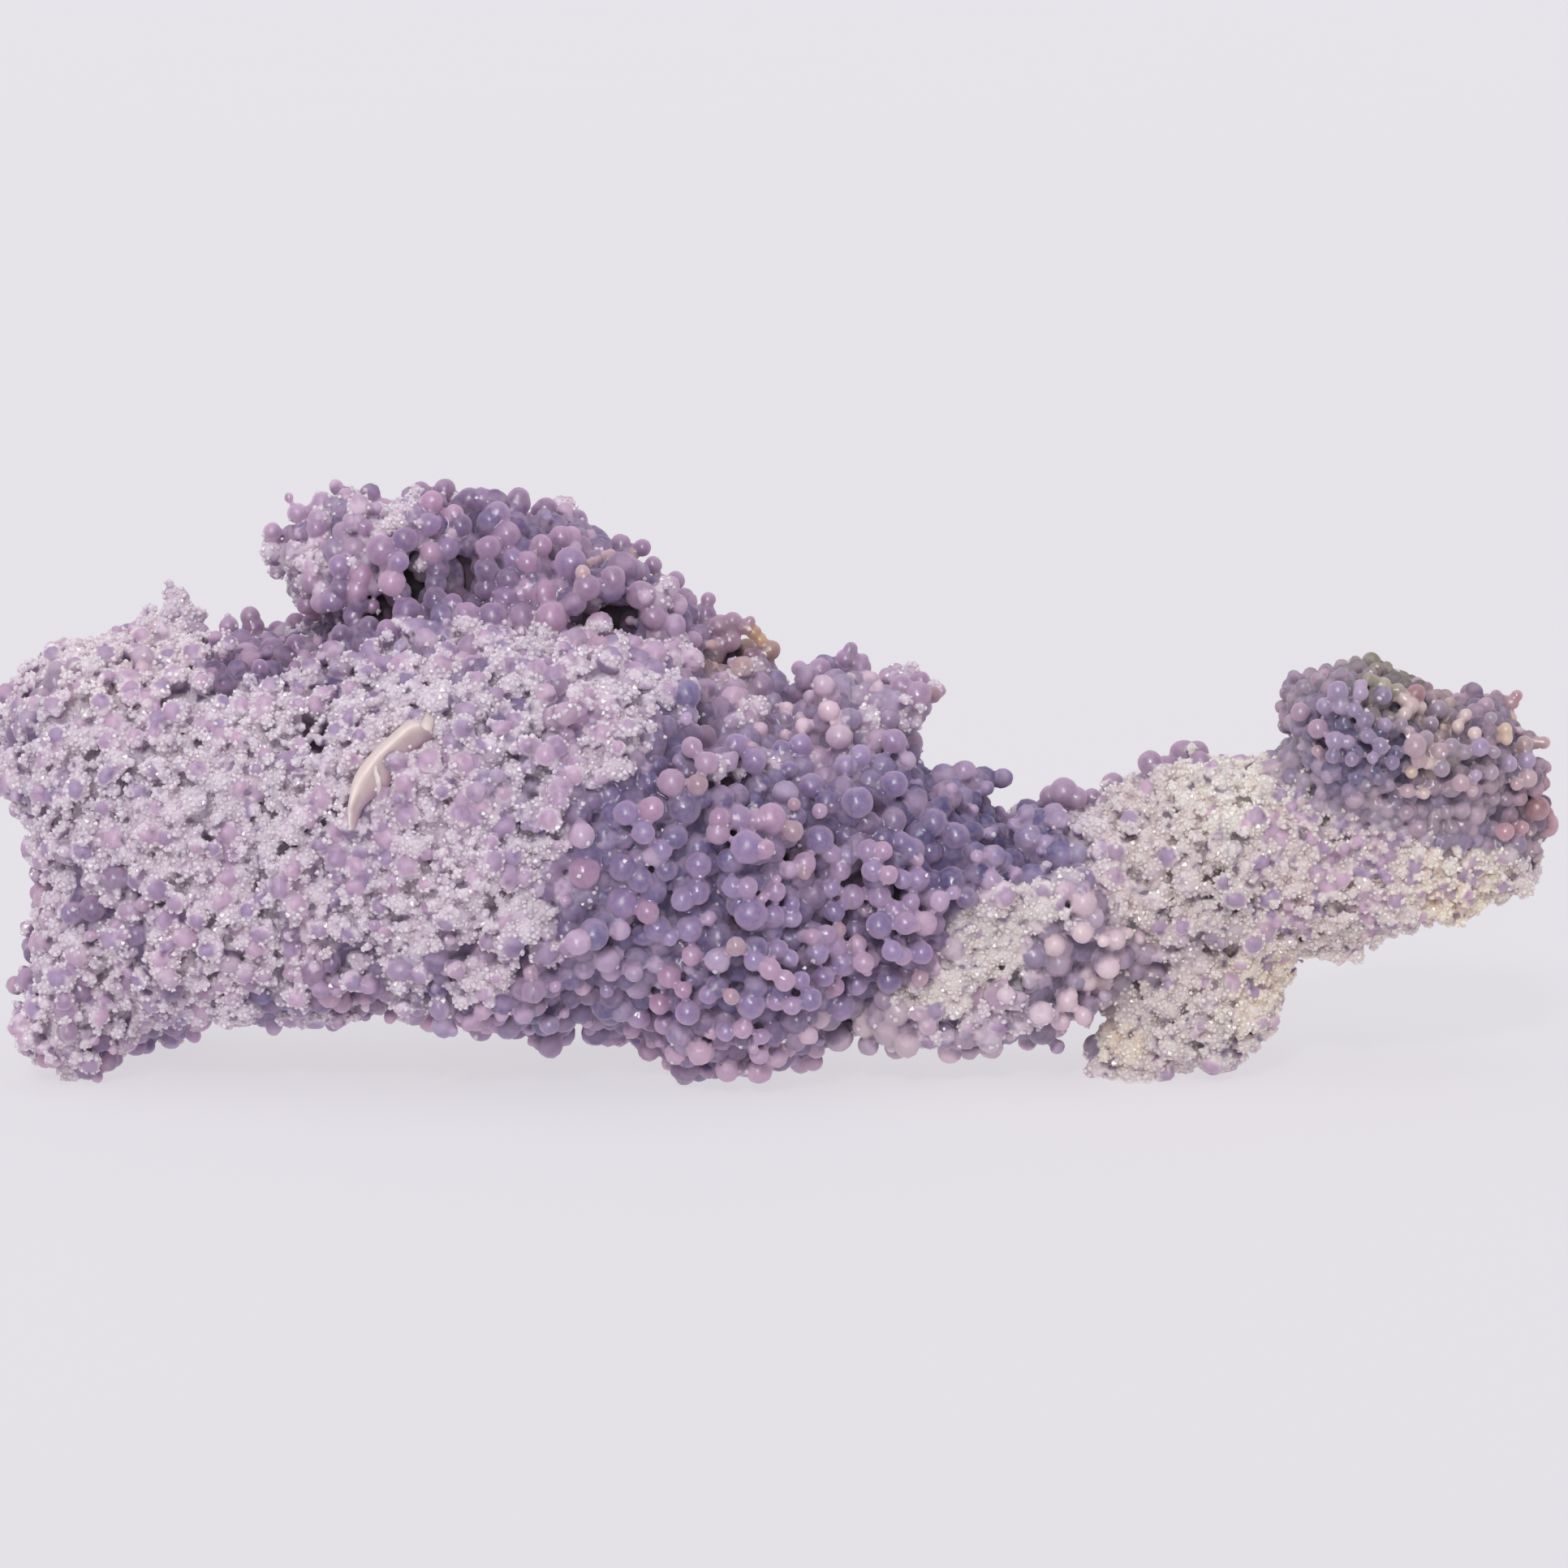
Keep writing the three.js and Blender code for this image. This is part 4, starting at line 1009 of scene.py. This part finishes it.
def grain_tree():
    """The tree that strews quartz grains over the sugared parts of the grapes, and a few strays elsewhere."""
    tree = bpy.data.node_groups.new("quartz grains on grapes", "GeometryNodeTree")
    given = inputs_for(tree, Spacing=0.6 * mm, Smallest=0.2 * mm, Largest=0.4 * mm, Shade=3 * mm,
                       Strays=0.0, Seed=1, Material=None)
    known = {}
    for name in ("bare", "crown", "sugar", "clump", "where", "out"):
        kind = "FLOAT_VECTOR" if name == "out" else "FLOAT"
        known[name] = add(tree, "GeometryNodeInputNamedAttribute", {"Name": name}, data_type=kind)
    gone = {}
    for name, followed, low, high in (("top", "crown", 0.4, 0.85), ("above root", "crown", -0.3, 0.1),
                                      ("on lump", "clump", -0.5, -0.2)):
        gone[name] = add(tree, "ShaderNodeMapRange", {
            "Value": known[followed], "From Min": low, "From Max": high},
            interpolation_type="SMOOTHSTEP")

    # Grains lie where there is sugar, above the roots, on the lumps, and not on the clean tops.
    clean_top = add(tree, "ShaderNodeMath", {0: known["bare"], 1: gone["top"]}, operation="MULTIPLY")
    coated = add(tree, "ShaderNodeMath", {0: 1.0, 1: clean_top}, operation="SUBTRACT")
    cover = known["sugar"]
    for share in (coated, gone["above root"], gone["on lump"]):
        cover = add(tree, "ShaderNodeMath", {0: cover, 1: share}, operation="MULTIPLY")
    strewn = add(tree, "ShaderNodeMath", {0: cover, 1: given["Strays"]}, operation="MAXIMUM")
    here = add(tree, "ShaderNodeMath", {0: strewn, 1: known["where"]}, operation="MULTIPLY")
    area = add(tree, "ShaderNodeMath", {0: given["Spacing"], 1: 2.0}, operation="POWER")
    close = add(tree, "ShaderNodeMath", {0: CANDIDATES, 1: area}, operation="DIVIDE")
    seeds = add(tree, "GeometryNodeDistributePointsOnFaces", {
        "Mesh": given["Surface"], "Distance Min": given["Spacing"], "Density Max": close,
        "Density Factor": here, "Seed": given["Seed"]}, distribute_method="POISSON")

    # A grain that another grape hides from outside is left out.
    above = add(tree, "ShaderNodeVectorMath", {0: seeds.outputs["Normal"], "Scale": CLEAR_OF_SKIN},
                operation="SCALE")
    place = add(tree, "GeometryNodeInputPosition")
    start = add(tree, "ShaderNodeVectorMath", {0: place, 1: above}, operation="ADD")
    overhead = add(tree, "GeometryNodeRaycast", {
        "Target Geometry": given["Surface"], "Source Position": start, "Ray Direction": known["out"],
        "Ray Length": given["Shade"]})
    lit = add(tree, "GeometryNodeDeleteGeometry", {"Geometry": seeds.outputs["Points"],
                                                   "Selection": overhead.outputs["Is Hit"]}, domain="POINT")
    luck = add(tree, "FunctionNodeRandomValue", {2: 0.0, 3: 1.0, "Seed": 5}, data_type="FLOAT")
    lucky = add(tree, "GeometryNodeStoreNamedAttribute", {"Geometry": lit, "Name": "luck",
                                                          "Value": luck.outputs[1]}, data_type="FLOAT")

    # Each grain is a six-sided double pyramid, turned any way.
    spin = add(tree, "FunctionNodeRandomValue", {0: (0, 0, 0), 1: 3 * (FULL_TURN,), "Seed": 8},
               data_type="FLOAT_VECTOR")
    turn = add(tree, "FunctionNodeEulerToRotation", {0: spin})
    size = add(tree, "FunctionNodeRandomValue", {2: given["Smallest"], 3: given["Largest"], "Seed": 13},
               data_type="FLOAT")
    chunky = add(tree, "FunctionNodeRandomValue", {0: (0.8, 0.8, 0.9), 1: (1.15, 1.15, 1.3), "Seed": 17},
                 data_type="FLOAT_VECTOR")
    shape = add(tree, "ShaderNodeVectorMath", {0: chunky, "Scale": size.outputs[1]}, operation="SCALE")
    grain = add(tree, "GeometryNodeMeshUVSphere", {"Segments": 6, "Rings": 2, "Radius": 1.0})
    placed = add(tree, "GeometryNodeInstanceOnPoints", {
        "Points": lucky, "Instance": grain.outputs["Mesh"], "Rotation": turn,
        "Scale": shape})
    real = add(tree, "GeometryNodeRealizeInstances", {"Geometry": placed})
    flat = add(tree, "GeometryNodeSetShadeSmooth", {"Geometry": real, "Shade Smooth": False})
    clad = add(tree, "GeometryNodeSetMaterial", {"Geometry": flat, "Material": given["Material"]})
    add(tree, "NodeGroupOutput", {0: clad})
    return tree


# Drusy quartz: colourless crystals too small to see into, so they scatter the light and look like
# sugar. Their flat faces glint, and a thin stain tints them pink, cream or yellow.
sugar_quartz, tree, shader = plain_material("drusy quartz, sugar-fine")
names = ("frost", "tone", "luck", "crown", "clump")
seen = {name: add(tree, "ShaderNodeAttribute", attribute_name=name) for name in names}
# Some grains show the grape's tone through them; grains low on a grape's side and in the crust's hollows are
# painted greyer as shade.
grain_colour = washed(tree, seen, seen["frost"].outputs["Color"], [
    ("luck", 0.4, 0.0, 0.3, seen["tone"].outputs["Color"]), ("crown", 0.4, -0.2, 0.3, "#c3b6c6"),
    ("clump", 0.0, -0.35, 0.35, "#b0a2ba"),
])
fill(tree, shader, {
    "Base Color": grain_colour, "Roughness": 0.3, "IOR": 1.54, "Subsurface Weight": 0.5,
    "Subsurface Scale": 0.8 * mm, "Subsurface Radius": (1.0, 0.9, 1.0),
})

grains_on = grain_tree()
mark(body, "where", np.zeros(len(body_at)))
for number, (stretch, (start, end)) in enumerate(STRETCHES.items()):
    here = (body_at[:, 0] >= start * mm) & (body_at[:, 0] < end * mm)
    body.attributes["where"].data.foreach_set("value", here.astype(np.float32))
    grain_mesh = grown(grains_on, body, {
        "Spacing": GRAIN_SPACING, "Smallest": GRAIN_SMALLEST, "Largest": GRAIN_LARGEST, "Shade": HIDDEN_UNDER,
        "Strays": STRAYS, "Seed": 51 + number, "Material": sugar_quartz})
    corners = rows_of(grain_mesh.vertices, "co")
    corners[:, 2] = np.maximum(corners[:, 2], 0)
    put_at(grain_mesh, corners)
    grains = show(grain_mesh, "druse_grains_" + stretch)
    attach(grains, "root")


# The rind is the broken edge of an older and thinner shell of chalcedony, ivory and smooth as porcelain.
# It curves out of the sugar on the left side: a thick lip, a hollow that fades to mauve, a rib and a tooth.

SWEEP_STEPS = 48
# The blade's section, from the foot of its outer side over the lip to its inner edge and back underneath:
# how far across from the outer line to the inner one, and how many millimetres in front of the heart.
BLADE_SECTION = [(-0.12, 0.4), (-0.2, 1.4), (-0.2, 2.5), (-0.13, 3.3), (0.0, 3.75), (0.14, 3.7),
                 (0.26, 3.35), (0.4, 3.0), (0.56, 2.8), (0.74, 2.7), (0.92, 2.6), (1.04, 2.2),
                 (1.06, 0.4), (0.5, -0.4)]
TAPER = [0.86, 0.96, 1.0, 1.0, 1.0, 1.0, 0.97, 0.9, 0.7]
# A tube has so many sides, stands out so many times its width, and is no thinner than so many millimetres.
TUBE_SIDES, TUBE_STANDS, THINNEST_TUBE = 14, 1.3, 0.05
# The heart's dips are levelled over so many steps of a sweep.
LEVELLED_OVER = 13
# The rind's skin waves by so many millimetres in X, Y and Z.
RIND_WAVE_SIZE, RIND_WAVE = 1.4 * mm, (0.15, 0.3, 0.15)
STAINS_TO_A_MM, STAIN_DEPTH = 0.52, 0.12 * mm
# The tooth and the rib: each has its line seen from the front, how thick it is along that, and how far it
# stands before the heart.
TOOTH = ([(-34.6, 38.7), (-34.2, 39.7), (-34.0, 40.7), (-33.8, 41.7)], [0.66, 0.55, 0.5, 0.3], 2.9)
RIB = ([(-39.5, 35.2), (-39.35, 34.6), (-39.2, 33.9), (-39.15, 33.2), (-39.3, 32.6)],
       [0.1, 0.24, 0.28, 0.24, 0.1], 2.9)


def smooth_line(values, steps):
    """A smooth run of numbers that passes through the given ones."""
    values = np.asarray(values, float)
    padded = np.concatenate([[2 * values[0] - values[1]], values, [2 * values[-1] - values[-2]]])
    t = np.linspace(0, len(values) - 1, steps)
    n = np.minimum(t.astype(int), len(values) - 2)
    u = t - n
    a, b, c, d = (padded[n + k] for k in range(4))
    return 0.5 * (2 * b + (c - a) * u + (2 * a - 5 * b + 4 * c - d) * u**2 + (3 * b - a - 3 * c + d) * u**3)


def smooth_path(line, steps):
    """A smooth path on the stone's front, in millimetres, and how far forward the heart reaches along it."""
    run = np.stack([smooth_line([place[k] for place in line], steps) for k in (0, 1)], axis=1)
    reach = np.array([front_of_heart(a, b) for a, b in run]) / mm
    ends = np.pad(reach, LEVELLED_OVER // 2, mode="edge")
    return run, np.convolve(ends, np.ones(LEVELLED_OVER) / LEVELLED_OVER, mode="valid")


def strip(rows, across):
    """A closed skin over rows of corners: its corners, its faces, and a number for each corner."""
    sides = len(rows[0])
    corners = [corner for row in rows for corner in row]
    faces = []
    for first in range(0, (len(rows) - 1) * sides, sides):
        for n in range(sides):
            after = (n + 1) % sides
            faces.append((first + n, first + after, first + sides + after, first + sides + n))
    last = (len(rows) - 1) * sides
    faces += [tuple(range(sides - 1, -1, -1)), tuple(range(last, last + sides))]
    return corners, faces, across * len(rows)


def blade():
    """The rind's lip and the hollow behind it, between its outer and its inner line."""
    outer, reach = smooth_path(RIND_OUTER, SWEEP_STEPS)
    inner, _ = smooth_path(RIND_INNER, SWEEP_STEPS)
    rows = []
    for start, end, depth, taper in zip(outer, inner, reach, smooth_line(TAPER, SWEEP_STEPS)):
        rows.append([(*(start + (end - start) * part), depth - forward * taper)
                     for part, forward in BLADE_SECTION])
    return strip(rows, [part for part, _ in BLADE_SECTION])


def tube(line, radii, forward):
    """A thin round spike or rib along a line seen from the front, so many millimetres before the heart."""
    steps = 4 * len(line)
    run, reach = smooth_path(line, steps)
    along = np.gradient(run, axis=0)
    along /= np.linalg.norm(along, axis=1)[:, None]
    turns = np.linspace(0, 2 * math.pi, TUBE_SIDES, endpoint=False)
    rows = []
    thick = np.maximum(smooth_line(radii, steps), THINNEST_TUBE)
    for place, way, depth, radius in zip(run, along, reach, thick):
        rows.append([(place[0] - way[1] * radius * math.cos(turn),
                      place[1] + way[0] * radius * math.cos(turn),
                      depth - forward - TUBE_STANDS * radius * math.sin(turn)) for turn in turns])
    return strip(rows, [0.0] * TUBE_SIDES)


def rind_mesh(strips):
    """One mesh of several strips, with its faces turned outwards and its skin a little uneven."""
    corners, faces, across = [], [], []
    for more_corners, more_faces, more_across in strips:
        faces += [tuple(corner + len(corners) for corner in face) for face in more_faces]
        corners += [(at_x * mm, at_y * mm, at_z * mm) for at_x, at_z, at_y in more_corners]
        across += more_across
    mesh = bpy.data.meshes.new("rind")
    uneven = noise_at(corners, RIND_WAVE_SIZE, 61.0)[:, None] * np.array(RIND_WAVE) * mm
    mesh.from_pydata((np.array(corners) + uneven).tolist(), [], faces)
    shaped = bmesh.new()
    shaped.from_mesh(mesh)
    bmesh.ops.recalc_face_normals(shaped, faces=shaped.faces)
    shaped.to_mesh(mesh)
    shaped.free()
    mark(mesh, "across", across)
    smoothed(mesh)
    return mesh


# Chalcedony rind, smooth as it grew against a lost mineral: cream at its lip, mauve where it thins.
porcelain, tree, shader = plain_material("chalcedony rind, smooth ivory")
place = add(tree, "ShaderNodeTexCoord")
seen_across = add(tree, "ShaderNodeAttribute", attribute_name="across")
fade = add(tree, "ShaderNodeMapRange", {"Value": seen_across.outputs["Fac"], "From Min": 0.2,
                                        "From Max": 0.95})
stain = add(tree, "ShaderNodeTexNoise", {"Vector": place.outputs["Object"], "Scale": STAINS_TO_A_MM / mm,
                                         "Detail": 4.0})
shifted = add(tree, "ShaderNodeMath", {0: stain.outputs["Fac"], 1: 0.5, 2: fade},
              operation="MULTIPLY_ADD")
blend = add(tree, "ShaderNodeMapRange", {"Value": shifted, "From Min": 0.25, "From Max": 1.15})
cream = add(tree, "ShaderNodeMix", {"Factor": blend, "A": colour("#e4d6cf"),
                                    "B": colour("#b092a1")}, data_type="RGBA")
wave = add(tree, "ShaderNodeBump", {"Height": stain.outputs["Fac"], "Distance": STAIN_DEPTH, "Strength": 0.5})
fill(tree, shader, {
    "Base Color": cream.outputs["Result"], "Normal": wave.outputs["Normal"], "Roughness": 0.42, "IOR": 1.54,
    "Subsurface Weight": 0.5, "Subsurface Scale": 1.2 * mm, "Subsurface Radius": (1.0, 0.8, 0.7),
})

rind = show(rind_mesh([blade(), tube(*TOOTH), tube(*RIB)]), "ivory_rind")
rind.data.materials.append(porcelain)
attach(rind, "root")


# The studio floor is a wide sheet of grey card that glows off-white: its glow is painted light, which keeps
# it evenly bright in the stone's shadow and lights the stone from below. The other light is soft and comes
# from everywhere, a little more of it from above. The camera looks slightly down at the stone through a long
# lens.

FLOOR_HALF = 6.0
MOTTLES_TO_A_METRE = 9.0
SKY_STRENGTH = 0.6
# Each lamp's strength, how wide it is and how it is turned, in degrees, and whether it lights matt skin too.
LAMPS = {"overhead": (0.6, 70, (12, -6, 0), True), "key": (0.9, 9, (52, -14, 0), True),
         "glint": (2.0, 14, (72, 0, -4), False)}
CAMERA_LOOKS_AT = Vector((1.16, 0, 30)) * mm
CAMERA_DISTANCE = 670.8 * mm
CAMERA_ELEVATION = math.radians(10)
LENS_MM, SENSOR_MM = 150, 36

# The card's emission is painted light: it fills the stone's shadow on the floor and lights its underside.
card, tree, shader = plain_material("matt card, off-white, lit from below")
place = add(tree, "ShaderNodeTexCoord")
grain = add(tree, "ShaderNodeTexNoise", {"Vector": place.outputs["Object"], "Scale": MOTTLES_TO_A_METRE,
                                         "Detail": 2.0})
sheet = add(tree, "ShaderNodeMix", {"Factor": grain.outputs["Fac"], "A": colour("#6d6b6f"),
                                    "B": colour("#6f6d71")}, data_type="RGBA")
fill(tree, shader, {
    "Base Color": sheet.outputs["Result"], "Roughness": 0.9, "Emission Color": colour("#f6f3f8"),
    "Emission Strength": 0.66,
})

floor_mesh = bpy.data.meshes.new("floor")
corners = [(-1, -1), (1, -1), (1, 1), (-1, 1)]
floor_mesh.from_pydata([(u * FLOOR_HALF, v * FLOOR_HALF, 0) for u, v in corners], [], [(0, 1, 2, 3)])
floor_mesh.materials.append(card)
show(floor_mesh, "floor")

world = bpy.data.worlds.new("soft studio")
world.use_nodes = True
sky = world.node_tree.nodes["Background"]
sky.inputs["Color"].default_value = colour("#f3f1fa")
sky.inputs["Strength"].default_value = SKY_STRENGTH
bpy.context.scene.world = world

for name, (strength, spread, turns, lights_matt) in LAMPS.items():
    lamp = bpy.data.lights.new(name, "SUN")
    lamp.energy = strength
    lamp.angle = math.radians(spread)
    holder = bpy.data.objects.new(name, lamp)
    holder.rotation_euler = [math.radians(turn) for turn in turns]
    holder.visible_diffuse = lights_matt
    bpy.context.scene.collection.objects.link(holder)

lens = bpy.data.cameras.new("camera")
lens.lens = LENS_MM
lens.sensor_width = SENSOR_MM
camera = bpy.data.objects.new("camera", lens)
behind = Vector((0, -math.cos(CAMERA_ELEVATION), math.sin(CAMERA_ELEVATION)))
camera.location = CAMERA_LOOKS_AT + CAMERA_DISTANCE * behind
camera.rotation_euler = (math.pi / 2 - CAMERA_ELEVATION, 0, 0)
bpy.context.scene.collection.objects.link(camera)
bpy.context.scene.camera = camera
bpy.context.scene.view_settings.view_transform = "Standard"
